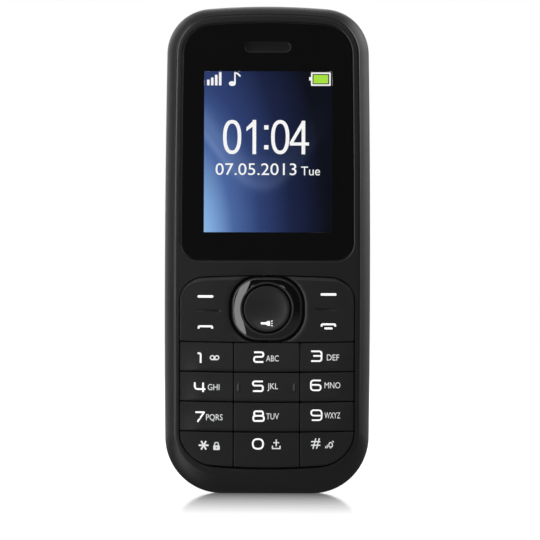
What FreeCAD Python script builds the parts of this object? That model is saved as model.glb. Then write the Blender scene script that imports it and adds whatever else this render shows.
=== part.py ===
import FreeCAD, Part
import Sketcher
import math
import os
import re

# A candybar phone, standing upright on its lower edge, in millimetres.
# X runs across the phone, to the right as seen from the front. The front faces -Y and Z runs up.
# A "level" is a distance forward of the middle of the phone's thickness, so a level is -Y.
SIZES = {
    # outline of the whole phone
    "body_half_width": 22.2,
    "body_height": 105.3,
    "body_depth": 13.0,
    "side_radius": 2900.0,
    "side_center_height": 45.9,
    "top_radius": 150.0,
    "top_corner": 9.8,
    "bottom_corner": 12.2,
    # front face inside the sloping rim band
    "face_side_margin": 2.15,
    "face_top_margin": 1.5,
    "face_bottom_margin": 4.1,
    "face_top_corner": 8.6,
    "face_bottom_corner": 9.6,
    "key_proud": 0.35,
    "band_depth": 2.8,
    "parting_level": 1.9,
    "parting_gap": 0.1,
    # shell walls
    "front_wall": 1.3,
    "front_roof": 1.6,
    "roof_land": 0.6,
    "cover_wall": 1.1,
    "cover_edge_round": 3.7,
    "chassis_gap": 0.4,
    "chassis_back_gap": 0.3,
    # window, gasket and screen
    "window_side_margin": 1.43,
    "window_keypad_gap": 3.2,
    "window_top_margin": 3.3,
    "window_top_corner": 6.4,
    "window_bottom_corner": 3.8,
    "window_thickness": 0.8,
    "window_gap": 0.08,
    "gasket_thickness": 0.15,
    "screen_side_border": 2.085,
    "screen_top_border": 0.88,
    "screen_low_border": 4.98,
    "screen_margin": 1.2,
    "lcd_side_margin": 2.52,
    "lcd_low_margin": 1.2,
    "lcd_thickness": 1.3,
    "lcd_gap": 0.1,
    "frame_wall": 1.1,
    "foam_thickness": 0.2,
    "foam_width": 1.0,
    # earpiece
    "earpiece_width": 10.0,
    "earpiece_height": 2.25,
    "earpiece_drop": 5.5,
    "mesh_margin": 0.9,
    "mesh_thickness": 0.15,
    "mesh_gap": 0.05,
    "earpiece_sound_margin": 0.3,
    "speaker_width": 13.0,
    "speaker_height": 5.6,
    "speaker_board_gap": 0.25,
    "speaker_frame_gap": 0.1,
    "speaker_back_gap": 0.1,
    "speaker_corner": 1.5,
    "speaker_slot_width": 8.0,
    "speaker_slot_height": 1.8,
    "speaker_slot_depth": 0.4,
    # keypad
    "keypad_side_margin": 1.03,
    "keypad_bottom_margin": 1.1,
    "function_height": 14.6,
    "keypad_top_corner": 5.2,
    "keypad_bottom_corner": 7.6,
    "key_gap": 0.2,
    "key_column": 7.17,
    "last_row_height": 8.05,
    "row_pitch": 6.45,
    "key_thin": 1.45,
    "key_thick": 2.1,
    "key_thick_last": 1.75,
    "key_flat_end": 2.9,
    "function_key_thick": 1.85,
    "function_tip": 2.6,
    "stem_radius": 1.3,
    "key_travel": 0.3,
    "ring_half_width": 7.95,
    "ring_edge_gap": 0.15,
    "ring_corner": 6.2,
    "ring_thick": 1.9,
    "ring_lift": 0.3,
    "ring_gap": 0.25,
    "ring_wall": 1.65,
    "ring_stem_radius": 0.6,
    "ring_stem_wall": 0.35,
    "center_key_gap": 0.35,
    "center_key_thick": 1.3,
    "carrier_stem_gap": 0.05,
    "carrier_bore": 4.0,
    "carrier_thickness": 0.45,
    "carrier_drop": 0.25,
    "function_stem_height": 4.3,
    "function_stem_side": 12.6,
    # keypad layers on the board
    "dome_radius": 2.3,
    "dome_height": 0.3,
    "dome_slope": 0.8,
    "sheet_thickness": 0.1,
    "sheet_margin": 0.3,
    "mat_carrier_gap": 0.7,
    "mat_hole_margin": 0.35,
    "mat_inset": 0.25,
    # main board
    "board_level": 1.9,
    "board_thickness": 0.8,
    "board_inset": 1.9,
    # chassis and battery
    "chassis_floor": 1.0,
    "speaker_zone_gap": 3.6,
    "bay_screw_gap": 0.3,
    "bay_web": 1.0,
    "battery_gap": 0.25,
    "battery_corner": 1.2,
    "battery_front_gap": 0.4,
    "battery_cover_gap": 0.15,
    "end_zone_wall": 1.4,
    "end_zone_inset": 2.7,
    "zone_corner": 1.0,
    "zone_side_margin": 0.54,
    "screw_side_margin": 3.25,
    "screw_keypad_gap": 1.55,
    "screw_top_margin": 5.5,
    "screw_top_drop": 6.6,
    "screw_radius": 0.7,
    "screw_head_radius": 1.25,
    "screw_head_height": 0.9,
    "screw_reach": 1.7,
    "screw_seat_level": -2.0,
    "screw_clearance": 0.08,
    "screw_post_wall": 0.7,
    "boss_radius": 1.35,
    # connectors along the edges
    "jack_side": 8.5,
    "jack_bore": 1.8,
    "jack_length": 14.0,
    "jack_width": 6.4,
    "jack_back_gap": 0.2,
    "jack_nose_step": 0.2,
    "jack_nose_length": 1.6,
    "jack_foot": 0.6,
    "top_drop": 0.4,
    "plug_clearance": 0.5,
    "usb_width": 7.6,
    "usb_depth": 2.6,
    "usb_length": 5.6,
    "usb_wall": 0.35,
    "usb_tongue_width": 4.8,
    "usb_tongue_depth": 0.5,
    "usb_low": 1.6,
    "usb_mouth_margin": 0.3,
    "torch_side": -8.0,
    "torch_radius": 2.1,
    "torch_lens_thickness": 1.3,
    "torch_led_size": 3.0,
    "torch_led_depth": 3.2,
    "torch_led_height": 1.2,
    "torch_led_gap": 0.2,
    # parts on the rear of the board
    "motor_side_margin": 5.8,
    "motor_radius": 2.0,
    "motor_gap": 0.15,
    "motor_post_gap": 0.25,
    "motor_zone_gap": 1.0,
    "motor_length": 6.2,
    "motor_shaft_radius": 0.4,
    "motor_shaft_length": 3.9,
    "weight_length": 3.2,
    "weight_gap": 0.5,
    "weight_bore_gap": 0.03,
    "can_radio_side": -4.6,
    "can_radio_width": 13.0,
    "can_radio_height": 10.0,
    "can_radio_drop": 13.9,
    "can_depth": 1.7,
    "can_wall": 0.2,
    "can_baseband_margin": 9.5,
    "can_baseband_width": 11.0,
    "can_baseband_height": 14.0,
    "can_baseband_center": 19.5,
    "loudspeaker_margin": 9.5,
    "loudspeaker_width": 11.0,
    "loudspeaker_height": 15.0,
    "loudspeaker_center": 19.5,
    "loudspeaker_depth": 3.6,
    "loudspeaker_corner": 1.5,
    "cone_depth": 0.3,
    "grille_slots": 5,
    "grille_pitch": 1.6,
    "grille_slot_width": 7.0,
    "grille_slot_height": 0.8,
    "grille_mesh_margin": 0.9,
    "mic_side_margin": 11.7,
    "mic_width": 3.8,
    "mic_height": 3.0,
    "mic_depth": 1.2,
    "mic_low": 4.6,
    "mic_hole_radius": 0.5,
    "boot_wall": 0.5,
    "connector_width": 11.0,
    "connector_height": 4.6,
    "connector_depth": 3.6,
    "connector_gap": 0.2,
    "contact_width": 1.6,
    "contact_pitch": 3.2,
    "contact_depth": 2.2,
    "contact_clearance": 0.05,
    "sim_side": 8.7,
    "sim_width": 14.6,
    "sim_height": 13.0,
    "sim_bay_gap": 6.0,
    "card_width": 14.0,
    "card_height": 13.6,
    "card_bay_gap": 5.0,
    "socket_depth": 1.25,
    "socket_window_margin": 0.4,
    "slot_thickness": 0.75,
    "slot_margin": 1.0,
    "antenna_side_margin": 7.6,
    "antenna_height": 6.0,
    "antenna_center": 8.2,
    "antenna_depth": 1.6,
    "antenna_foil": 0.15,
    "part_corner": 0.6,
    "opening_corner": 0.5,
    "chip_thickness": 0.9,
    "chip_margin": 1.6,
    "flex_width": 15.0,
    "flex_thickness": 0.2,
    "flex_tail": 2.4,
}

# Places and sizes that follow from the sizes above, as expressions on the sheet
PLACES = {
    # levels, from the front to the rear
    "face_level": "body_depth / 2 - key_proud",
    "band_level": "face_level - band_depth",
    "roof_level": "face_level - front_roof",
    "window_seat": "face_level - window_thickness - gasket_thickness",
    "lcd_front": "roof_level - foam_thickness",
    "key_base_level": "face_level - function_key_thick",
    "ring_base": "body_depth / 2 - ring_thick",
    "mat_level": "board_level + sheet_thickness",
    "stem_end": "board_level + dome_height + key_travel",
    "cover_rim": "parting_level - parting_gap",
    "board_back": "board_level - board_thickness",
    "edge_center": "board_back - jack_depth / 2",
    "motor_level": "board_back - motor_radius - motor_gap",
    "bay_web_back": "board_back - bay_web",
    "speaker_seat": "chassis_back + chassis_floor",
    "chassis_back": "cover_floor + chassis_back_gap",
    "cover_floor": "back_level + cover_wall",
    "back_level": "-body_depth / 2",
    # thicknesses between those levels
    "mat_thickness": "ring_base - carrier_drop - carrier_thickness - mat_carrier_gap - mat_level",
    "speaker_thickness": "roof_level - speaker_back_gap - board_level - speaker_board_gap",
    "jack_depth": "board_back - speaker_seat - jack_back_gap",
    "jack_nose_radius": "jack_depth / 2 - jack_nose_step",
    # face, window and screen
    "face_half_width": "body_half_width - face_side_margin",
    "window_half_width": "face_half_width - window_side_margin",
    "window_low": "keypad_high + window_keypad_gap",
    "window_high": "body_height - window_top_margin",
    "earpiece_center": "window_high - earpiece_drop",
    "lcd_width": "2 * (window_half_width - lcd_side_margin)",
    "lcd_low": "window_low + lcd_low_margin",
    "lcd_high": "earpiece_center - speaker_height / 2 - speaker_frame_gap - frame_wall",
    "screen_width": "lcd_width - 2 * screen_side_border",
    "screen_height": "lcd_high - screen_top_border - lcd_low - screen_low_border",
    "screen_center": "lcd_low + screen_low_border + screen_height / 2",
    # keypad
    "keypad_half_width": "face_half_width - keypad_side_margin",
    "keypad_low": "face_bottom_margin + keypad_bottom_margin",
    "keys_high": "keypad_low + last_row_height + 3 * row_pitch",
    "keypad_high": "keys_high + function_height",
    "ring_center": "keys_high + function_height / 2",
    "ring_half_height": "function_height / 2 - ring_edge_gap",
    "ring_bore": "ring_half_height - ring_wall",
    "ring_stem_reach": "ring_bore + ring_stem_wall + ring_stem_radius",
    "center_key_radius": "ring_bore - center_key_gap",
    "carrier_radius": "ring_stem_reach - ring_stem_radius - carrier_stem_gap",
    # chassis, screws and bay
    "chassis_inset": "cover_wall + chassis_gap",
    "chassis_top": "body_height - chassis_inset",
    "screw_side": "body_half_width - screw_side_margin",
    "screw_low": "keypad_high + screw_keypad_gap",
    "screw_top_side": "body_half_width - screw_top_margin",
    "screw_top": "body_height - screw_top_drop",
    "screw_post_radius": "screw_head_radius + screw_post_wall",
    "bay_half_width": "screw_side - screw_head_radius - bay_screw_gap",
    "bay_low": "loudspeaker_center + loudspeaker_height / 2 + speaker_zone_gap + end_zone_wall",
    "bay_high": "motor_low - motor_zone_gap - end_zone_wall",
    "bay_height": "bay_high - bay_low",
    # parts on the rear of the board
    "motor_side": "-(body_half_width - motor_side_margin)",
    "motor_low": "screw_top - screw_post_radius - motor_post_gap - motor_shaft_length - motor_length",
    "can_radio_center": "body_height - can_radio_drop",
    "can_baseband_side": "body_half_width - can_baseband_margin",
    "loudspeaker_side": "-(body_half_width - loudspeaker_margin)",
    "mic_side": "body_half_width - mic_side_margin",
    "mic_center": "mic_low + mic_height / 2",
    "sim_center": "bay_high - sim_bay_gap - sim_height / 2",
    "card_center": "bay_low + card_bay_gap + card_height / 2",
    "antenna_width": "2 * (body_half_width - antenna_side_margin)",
}

doc = FreeCAD.newDocument("CandybarPhone")
sheet = doc.addObject("Spreadsheet::Sheet", "Sizes")


def fill_sheet():
    """Puts each driving dimension in a cell of its own, under its alias."""
    for row, (word, number) in enumerate(SIZES.items(), 1):
        sheet.set("A%d" % row, word)
        sheet.set("B%d" % row, str(number))
        sheet.setAlias("B%d" % row, word)
    doc.recompute()


def bind_word(match):
    """A size becomes its cell, and a place becomes the expression that it stands for."""
    word = match.group()
    if word in PLACES:
        return "(%s)" % bind(PLACES[word])
    return "Sizes." + word if word in SIZES else word


def bind(text):
    """Turns 'window_high - front_wall' into an expression on the sheet's cells."""
    return re.sub(r"[a-z][a-z_0-9]*", bind_word, text)


def value(text):
    """The number that an expression on the sheet gives."""
    return float(sheet.evalExpression(bind(text)))


UP = FreeCAD.Vector(0, 0, 1)
QUARTER = math.pi / 2
TOLERANCE = 1e-4


def new_body(label, side="0", level="0", height="0"):
    """An empty body whose origin lies at a side, level and height of the phone."""
    body = doc.addObject("PartDesign::Body", label)
    body.Label = label
    body.setExpression("Placement.Base.x", bind(side))
    body.setExpression("Placement.Base.y", bind("-(%s)" % level))
    body.setExpression("Placement.Base.z", bind(height))
    return body


def new_sketch(body, plane, offset="0"):
    """A sketch on one of the body's origin planes, moved along the plane's normal."""
    sketch = body.newObject("Sketcher::SketchObject", body.Name + "_sketch")
    support = [part for part in body.Origin.OriginFeatures if part.Role == plane][0]
    sketch.AttachmentSupport = [(support, "")]
    sketch.MapMode = "FlatFace"
    sketch.setExpression("AttachmentOffset.Base.z", bind(offset))
    return sketch


def point(x, y):
    return FreeCAD.Vector(x, y, 0)


def dimension(sketch, kind, text, *geometry):
    """Adds a dimension and binds it to the sheet."""
    index = sketch.addConstraint(Sketcher.Constraint(kind, *geometry, value(text)))
    sketch.setExpression("Constraints[%d]" % index, bind(text))


def join(sketch, kind, first, second):
    """Joins the end of one edge to the start of the next."""
    sketch.addConstraint(Sketcher.Constraint(kind, first, 2, second, 1))


def add_arc(sketch, center, radius, start, end):
    circle = Part.Circle(center, UP, radius)
    return sketch.addGeometry(Part.ArcOfCircle(circle, start, end), False)


def draw_box(sketch, left, right, low, high, radii=("", "", "", "")):
    """A rectangle with a radius, or none, at its low left, low right, top right and top left corner."""
    x0, x1, y0, y1 = value(left), value(right), value(low), value(high)
    rounds = [value(text) if text else 0.0 for text in radii]
    corners = [(x0, y0), (x1, y0), (x1, y1), (x0, y1)]
    steps = [(1, 0), (0, 1), (-1, 0), (0, -1)]
    lines = []
    for k in range(4):
        here, there = corners[k], corners[(k + 1) % 4]
        dx, dy = steps[k]
        back = rounds[(k + 1) % 4]
        start = point(here[0] + dx * rounds[k], here[1] + dy * rounds[k])
        end = point(there[0] - dx * back, there[1] - dy * back)
        lines.append(sketch.addGeometry(Part.LineSegment(start, end), False))
    for k in range(4):
        direction = "Horizontal" if k % 2 == 0 else "Vertical"
        sketch.addConstraint(Sketcher.Constraint(direction, lines[k]))
    for k in range(4):
        if not radii[k]:
            join(sketch, "Coincident", lines[k - 1], lines[k])
            continue
        inward_x = steps[k][0] - steps[k - 1][0]
        inward_y = steps[k][1] - steps[k - 1][1]
        center = point(corners[k][0] + inward_x * rounds[k], corners[k][1] + inward_y * rounds[k])
        start = math.pi + QUARTER * k
        arc = add_arc(sketch, center, rounds[k], start, start + QUARTER)
        join(sketch, "Tangent", lines[k - 1], arc)
        join(sketch, "Tangent", arc, lines[k])
        dimension(sketch, "Radius", radii[k], arc)
    dimension(sketch, "DistanceY", low, -1, 1, lines[0], 1)
    dimension(sketch, "DistanceX", right, -1, 1, lines[1], 1)
    dimension(sketch, "DistanceY", high, -1, 1, lines[2], 1)
    dimension(sketch, "DistanceX", left, -1, 1, lines[3], 1)


def draw_centered(sketch, width, height, radius="", x="0", y="0"):
    """A rectangle about a centre, its corners rounded alike."""
    draw_box(
        sketch,
        "(%s) - (%s) / 2" % (x, width),
        "(%s) + (%s) / 2" % (x, width),
        "(%s) - (%s) / 2" % (y, height),
        "(%s) + (%s) / 2" % (y, height),
        (radius,) * 4,
    )


def draw_circle(sketch, radius, x="0", y="0"):
    center = point(value(x), value(y))
    circle = sketch.addGeometry(Part.Circle(center, UP, value(radius)), False)
    dimension(sketch, "Radius", radius, circle)
    dimension(sketch, "DistanceX", x, -1, 1, circle, 3)
    dimension(sketch, "DistanceY", y, -1, 1, circle, 3)


def draw_slot(sketch, width, height, x="0", y="0"):
    """A level slot with half round ends."""
    radius = value(height) / 2
    reach = value(width) / 2 - radius
    cx, cy = value(x), value(y)
    low = sketch.addGeometry(
        Part.LineSegment(point(cx - reach, cy - radius), point(cx + reach, cy - radius)), False)
    right = add_arc(sketch, point(cx + reach, cy), radius, -QUARTER, QUARTER)
    high = sketch.addGeometry(
        Part.LineSegment(point(cx + reach, cy + radius), point(cx - reach, cy + radius)), False)
    left = add_arc(sketch, point(cx - reach, cy), radius, QUARTER, 3 * QUARTER)
    for first, second in ((low, right), (right, high), (high, left), (left, low)):
        join(sketch, "Tangent", first, second)
    sketch.addConstraint(Sketcher.Constraint("Horizontal", low))
    dimension(sketch, "Radius", "(%s) / 2" % height, right)
    dimension(sketch, "DistanceX", "(%s) + ((%s) - (%s)) / 2" % (x, width, height), -1, 1, right, 3)
    dimension(sketch, "DistanceX", "(%s) - ((%s) - (%s)) / 2" % (x, width, height), -1, 1, left, 3)
    dimension(sketch, "DistanceY", y, -1, 1, right, 3)


def draw_polygon(sketch, points):
    """A closed polygon through points given as pairs of expressions."""
    places = [point(value(x), value(y)) for x, y in points]
    lines = []
    for k, place in enumerate(places):
        target = places[(k + 1) % len(places)]
        lines.append(sketch.addGeometry(Part.LineSegment(place, target), False))
    for k in range(len(lines)):
        join(sketch, "Coincident", lines[k - 1], lines[k])
    for line, (x, y) in zip(lines, points):
        dimension(sketch, "DistanceX", x, -1, 1, line, 1)
        dimension(sketch, "DistanceY", y, -1, 1, line, 1)


def circles_meet(center_a, radius_a, center_b, radius_b, upper):
    """The meeting point on the right of two circles, above or below."""
    along = center_b - center_a
    gap = along.Length
    reach = (radius_a ** 2 - radius_b ** 2 + gap ** 2) / (2 * gap)
    rise = math.sqrt(radius_a ** 2 - reach ** 2)
    along.normalize()
    across = FreeCAD.Vector(-along.y, along.x, 0)
    meets = [center_a + along * reach + across * rise, center_a + along * reach - across * rise]
    return max(meets, key=lambda place: place.x + (place.y if upper else -place.y))


def angle_of(center, place):
    return math.atan2(place.y - center.y, place.x - center.x)


def draw_outline(sketch, half_width, low, high, top_corner, bottom_corner, inset="0"):
    """The phone's front outline: arched top, slightly bowed sides and a flat bottom."""
    texts = {
        "side": "side_radius - (%s)" % inset,
        "side_x": "side_radius - (%s)" % half_width,
        "top": "top_radius - (%s)" % inset,
        "top_y": "(%s) - top_radius" % high,
        "corner": "(%s) - (%s)" % (top_corner, inset),
        "foot": "(%s) - (%s)" % (bottom_corner, inset),
        "base": "(%s) + (%s)" % (low, inset),
    }
    side, side_x = value(texts["side"]), value(texts["side_x"])
    top, top_y = value(texts["top"]), value(texts["top_y"])
    corner, foot, base = value(texts["corner"]), value(texts["foot"]), value(texts["base"])
    top_center = point(0, top_y)
    right_center = point(-side_x, value("side_center_height"))
    corner_center = circles_meet(top_center, top - corner, right_center, side - corner, True)
    foot_y = base + foot
    foot_x = -side_x + math.sqrt((side - foot) ** 2 - (foot_y - right_center.y) ** 2)
    foot_center = point(foot_x, foot_y)
    corner_high = angle_of(top_center, corner_center)
    corner_low = angle_of(right_center, corner_center)
    foot_high = angle_of(right_center, foot_center)

    bottom = sketch.addGeometry(Part.LineSegment(point(-foot_x, base), point(foot_x, base)), False)
    foot_right = add_arc(sketch, foot_center, foot, -QUARTER, foot_high)
    side_right = add_arc(sketch, right_center, side, foot_high, corner_low)
    corner_right = add_arc(sketch, corner_center, corner, corner_low, corner_high)
    top_arc = add_arc(sketch, top_center, top, corner_high, math.pi - corner_high)
    mirrored = point(-corner_center.x, corner_center.y)
    corner_left = add_arc(sketch, mirrored, corner, math.pi - corner_high, math.pi - corner_low)
    mirrored = point(-right_center.x, right_center.y)
    side_left = add_arc(sketch, mirrored, side, math.pi - corner_low, math.pi - foot_high)
    mirrored = point(-foot_center.x, foot_center.y)
    foot_left = add_arc(sketch, mirrored, foot, math.pi - foot_high, math.pi + QUARTER)

    chain = [bottom, foot_right, side_right, corner_right, top_arc, corner_left, side_left, foot_left]
    for k in range(len(chain)):
        join(sketch, "Tangent", chain[k - 1], chain[k])
    sketch.addConstraint(Sketcher.Constraint("Horizontal", bottom))
    dimension(sketch, "DistanceY", texts["base"], -1, 1, bottom, 1)
    dimension(sketch, "Radius", texts["foot"], foot_right)
    dimension(sketch, "Radius", texts["foot"], foot_left)
    dimension(sketch, "Radius", texts["side"], side_right)
    dimension(sketch, "Radius", texts["side"], side_left)
    dimension(sketch, "Radius", texts["corner"], corner_right)
    dimension(sketch, "Radius", texts["corner"], corner_left)
    dimension(sketch, "Radius", texts["top"], top_arc)
    dimension(sketch, "DistanceX", "0", -1, 1, top_arc, 3)
    dimension(sketch, "DistanceY", texts["top_y"], -1, 1, top_arc, 3)
    dimension(sketch, "DistanceX", "-(%s)" % texts["side_x"], -1, 1, side_right, 3)
    dimension(sketch, "DistanceY", "side_center_height", -1, 1, side_right, 3)
    dimension(sketch, "DistanceX", texts["side_x"], -1, 1, side_left, 3)
    dimension(sketch, "DistanceY", "side_center_height", -1, 1, side_left, 3)


def draw_body_outline(sketch, inset="0"):
    draw_outline(sketch, "body_half_width", "0", "body_height", "top_corner", "bottom_corner", inset)


def draw_face_outline(sketch, inset="0"):
    draw_outline(
        sketch, "face_half_width", "face_bottom_margin", "body_height - face_top_margin",
        "face_top_corner", "face_bottom_corner", inset)


def draw_window_outline(sketch, inset="0"):
    draw_outline(
        sketch, "window_half_width", "window_low", "window_high",
        "window_top_corner", "window_bottom_corner", inset)


def draw_keypad_outline(sketch, inset="0"):
    draw_box(
        sketch,
        "-keypad_half_width + (%s)" % inset, "keypad_half_width - (%s)" % inset,
        "keypad_low + (%s)" % inset, "keypad_high - (%s)" % inset,
        ("keypad_bottom_corner - (%s)" % inset,) * 2 + ("keypad_top_corner - (%s)" % inset,) * 2)


def pad(body, sketch, length):
    feature = body.newObject("PartDesign::Pad", body.Name + "_pad")
    feature.Profile = sketch
    feature.setExpression("Length", bind(length))
    sketch.Visibility = False
    doc.recompute()
    return feature


def pocket(body, sketch, length="", onward=False):
    """Cuts away from the sketch's normal, or along it where onward is set. No length cuts right through."""
    before = body.Shape.Volume
    feature = body.newObject("PartDesign::Pocket", body.Name + "_pocket")
    feature.Profile = sketch
    feature.Reversed = onward
    if length:
        feature.setExpression("Length", bind(length))
    else:
        feature.Type = "ThroughAll"
    sketch.Visibility = False
    doc.recompute()
    if body.Shape.Volume > before - TOLERANCE ** 2:
        raise RuntimeError("a pocket in %s cuts nothing" % body.Label)
    return feature


def slab(label, draw, base, thickness, side="0", height="0"):
    """A body of one outline, padded forward from its base level."""
    body = new_body(label, side, base, height)
    sketch = new_sketch(body, "XZ_Plane")
    draw(sketch)
    pad(body, sketch, thickness)
    return body


def cut(body, draw, top, depth=""):
    """A pocket from a level over the body's own base, cut backward by a depth or right through."""
    sketch = new_sketch(body, "XZ_Plane", top)
    draw(sketch)
    return pocket(body, sketch, depth)


def grow(body, draw, base, thickness):
    """One more pad on the body, from a level over the body's own base."""
    sketch = new_sketch(body, "XZ_Plane", base)
    draw(sketch)
    return pad(body, sketch, thickness)


def block(label, width, height, base, thickness, side="0", center="0", radius=""):
    """A plain block about its own centre."""
    def draw(sketch):
        draw_centered(sketch, width, height, radius)
    return slab(label, draw, base, thickness, side, center)


def round_edges(body, base, edges, radius):
    """A fillet along named edges of a feature."""
    feature = body.newObject("PartDesign::Fillet", body.Name + "_round")
    feature.Base = (base, edges)
    feature.setExpression("Radius", bind(radius))
    doc.recompute()
    return feature


def edges_at(feature, level):
    """Names of the edges that lie wholly at one level of a feature's own frame."""
    names = []
    for index, edge in enumerate(feature.Shape.Edges, 1):
        box = edge.BoundBox
        if abs(box.YMin + level) < TOLERANCE and abs(box.YMax + level) < TOLERANCE:
            names.append("Edge%d" % index)
    return names


def hole_pair(sketch, radius, side, height):
    """Two circles alike, left and right."""
    draw_circle(sketch, radius, "-(%s)" % side, height)
    draw_circle(sketch, radius, side, height)


def draw_screw_circles(sketch, radius):
    hole_pair(sketch, radius, "screw_side", "screw_low")
    hole_pair(sketch, radius, "screw_top_side", "screw_top")


# Housings

def make_front_housing():
    """Front shell: straight skirt, sloping rim band, roof with window recess and keypad opening."""
    body = new_body("front_housing", level="parting_level")
    skirt = new_sketch(body, "XZ_Plane")
    draw_body_outline(skirt)
    pad(body, skirt, "band_level - parting_level")
    outer = new_sketch(body, "XZ_Plane", "band_level - parting_level")
    draw_body_outline(outer)
    inner = new_sketch(body, "XZ_Plane", "face_level - parting_level")
    draw_face_outline(inner)
    band = body.newObject("PartDesign::AdditiveLoft", "front_band")
    band.Profile = outer
    band.Sections = [inner]
    band.Ruled = True
    outer.Visibility = False
    inner.Visibility = False
    doc.recompute()
    cut(body, lambda s: draw_body_outline(s, "front_wall"), "band_level - parting_level",
        "band_level - parting_level")
    cut(body, lambda s: draw_face_outline(s, "roof_land"), "roof_level - parting_level",
        "roof_level - parting_level")
    cut(body, draw_window_outline, "face_level - parting_level", "window_thickness + gasket_thickness")
    cut(body, draw_display_opening, "window_seat - parting_level", "front_roof")
    cut(body, draw_sound_slot, "window_seat - parting_level", "front_roof")
    cut(body, draw_keypad_outline, "face_level - parting_level", "front_roof")
    bosses = new_sketch(body, "XZ_Plane", "board_level - parting_level")
    draw_screw_circles(bosses, "boss_radius")
    pad(body, bosses, "roof_level - board_level")
    cut(body, lambda s: draw_screw_circles(s, "screw_radius + screw_clearance"),
        "board_level + screw_reach + screw_clearance - parting_level", "screw_reach + screw_clearance")
    return body


def draw_display_opening(sketch):
    draw_centered(sketch, "screen_width + screen_margin", "screen_height + screen_margin",
                  "opening_corner", "0", "screen_center")


def draw_sound_slot(sketch):
    draw_slot(sketch, "earpiece_width", "earpiece_height - earpiece_sound_margin", "0", "earpiece_center")


def make_battery_cover():
    """Back cover with a full skirt, rounded rear edge, speaker slots and holes for the edge sockets."""
    body = new_body("battery_cover", level="back_level")
    depth = "cover_rim - back_level"
    sketch = new_sketch(body, "XZ_Plane")
    draw_body_outline(sketch)
    shell = pad(body, sketch, depth)
    round_edges(body, shell, edges_at(shell, 0.0), "cover_edge_round")
    inside = new_sketch(body, "XZ_Plane", depth)
    draw_body_outline(inside, "cover_wall")
    hollow = pocket(body, inside, "cover_rim - cover_floor")
    floor_edges = edges_at(hollow, value("cover_wall"))
    round_edges(body, hollow, floor_edges, "cover_edge_round - cover_wall")
    grille = new_sketch(body, "XZ_Plane", "cover_wall")
    draw_slot(grille, "grille_slot_width", "grille_slot_height", "loudspeaker_side",
              "loudspeaker_center - grille_pitch * (grille_slots - 1) / 2")
    slot = pocket(body, grille)
    repeat_up(body, slot, "grille_slots", "grille_pitch")
    level = "edge_center - back_level"
    edge_hole(body, "jack_bore + plug_clearance", "jack_side", level)
    edge_hole(body, "torch_radius + plug_clearance / 2", "torch_side", level)
    usb = new_sketch(body, "XY_Plane", "0")
    draw_centered(usb, "usb_width + 2 * usb_mouth_margin", "usb_depth + 2 * usb_mouth_margin", "part_corner",
                  "0", "-(board_back - usb_depth / 2 - back_level)")
    pocket(body, usb, "body_height / 2", onward=True)
    mic = new_sketch(body, "XY_Plane", "0")
    draw_circle(mic, "mic_hole_radius", "mic_side", "-(board_back - mic_depth / 2 - back_level)")
    pocket(body, mic, "body_height / 2", onward=True)
    return body


def edge_hole(body, radius, side, level):
    """A round hole through the top wall."""
    sketch = new_sketch(body, "XY_Plane", "body_height")
    draw_circle(sketch, radius, side, "-(%s)" % level)
    return pocket(body, sketch, "body_height / 2")


def repeat_up(body, feature, count, pitch):
    """Repeats a feature upward along Z."""
    pattern = body.newObject("PartDesign::LinearPattern", body.Name + "_pattern")
    pattern.Originals = [feature]
    axis = [part for part in body.Origin.OriginFeatures if part.Role == "Z_Axis"][0]
    pattern.Direction = (axis, [""])
    pattern.setExpression("Length", bind("(%s) * (%s - 1)" % (pitch, count)))
    pattern.setExpression("Occurrences", bind(count))
    body.Tip = pattern
    doc.recompute()
    return pattern


def make_rear_housing():
    """Chassis: battery bay open to the rear, end zones open to the board, screw and socket holes."""
    body = new_body("rear_housing", level="chassis_back")
    depth = "board_back - chassis_back"
    sketch = new_sketch(body, "XZ_Plane")
    draw_body_outline(sketch, "chassis_inset")
    plate = pad(body, sketch, depth)
    round_edges(body, plate, edges_at(plate, 0.0), "cover_edge_round - cover_wall - chassis_gap")
    bay_depth = "bay_web_back - chassis_back"
    cut(body, draw_bay, bay_depth)
    for zone in (draw_top_zone, draw_bottom_zone):
        cut(body, zone, depth, "%s - chassis_floor" % depth)
    grow(body, lambda s: hole_pair(s, "screw_post_radius", "screw_top_side", "screw_top"),
         "chassis_floor / 2", "%s - chassis_floor / 2" % depth)
    cut(body, draw_socket_windows, depth, "bay_web * 2")
    cut(body, draw_connector_notch, depth, "connector_depth + 2 * connector_gap")
    cut(body, draw_speaker_hole, "chassis_floor")
    cut(body, lambda s: draw_screw_circles(s, "screw_radius + screw_clearance"), depth)
    cut(body, lambda s: draw_screw_circles(s, "screw_head_radius + screw_clearance"),
        "screw_seat_level - chassis_back")
    level = "edge_center - chassis_back"
    for radius, side in (("jack_nose_radius", "jack_side"), ("torch_radius", "torch_side")):
        nose = new_sketch(body, "XY_Plane", "body_height")
        draw_circle(nose, "%s + screw_clearance" % radius, side, "-(%s)" % level)
        pocket(body, nose, "2 * end_zone_inset")
    usb = new_sketch(body, "XY_Plane", "usb_low + usb_length / 2")
    draw_centered(usb, "usb_width + 2 * screw_clearance", "usb_depth + 2 * screw_clearance", "", "0",
                  "-(board_back - usb_depth / 2 - chassis_back)")
    pocket(body, usb, "usb_low + usb_length / 2")
    mic = new_sketch(body, "XY_Plane", "mic_low")
    mic_level = "board_back - mic_depth / 2 - chassis_back"
    draw_circle(mic, "mic_hole_radius", "mic_side", "-(%s)" % mic_level)
    pocket(body, mic, "mic_low")
    return body


def draw_bay(sketch):
    draw_box(sketch, "-bay_half_width", "bay_half_width", "bay_low", "bay_high", ("battery_corner",) * 4)


def draw_top_zone(sketch):
    low = "bay_high + end_zone_wall - end_zone_inset"
    draw_outline(sketch, "body_half_width", low, "body_height", "top_corner",
                 "end_zone_inset + zone_corner", "end_zone_inset")


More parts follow.
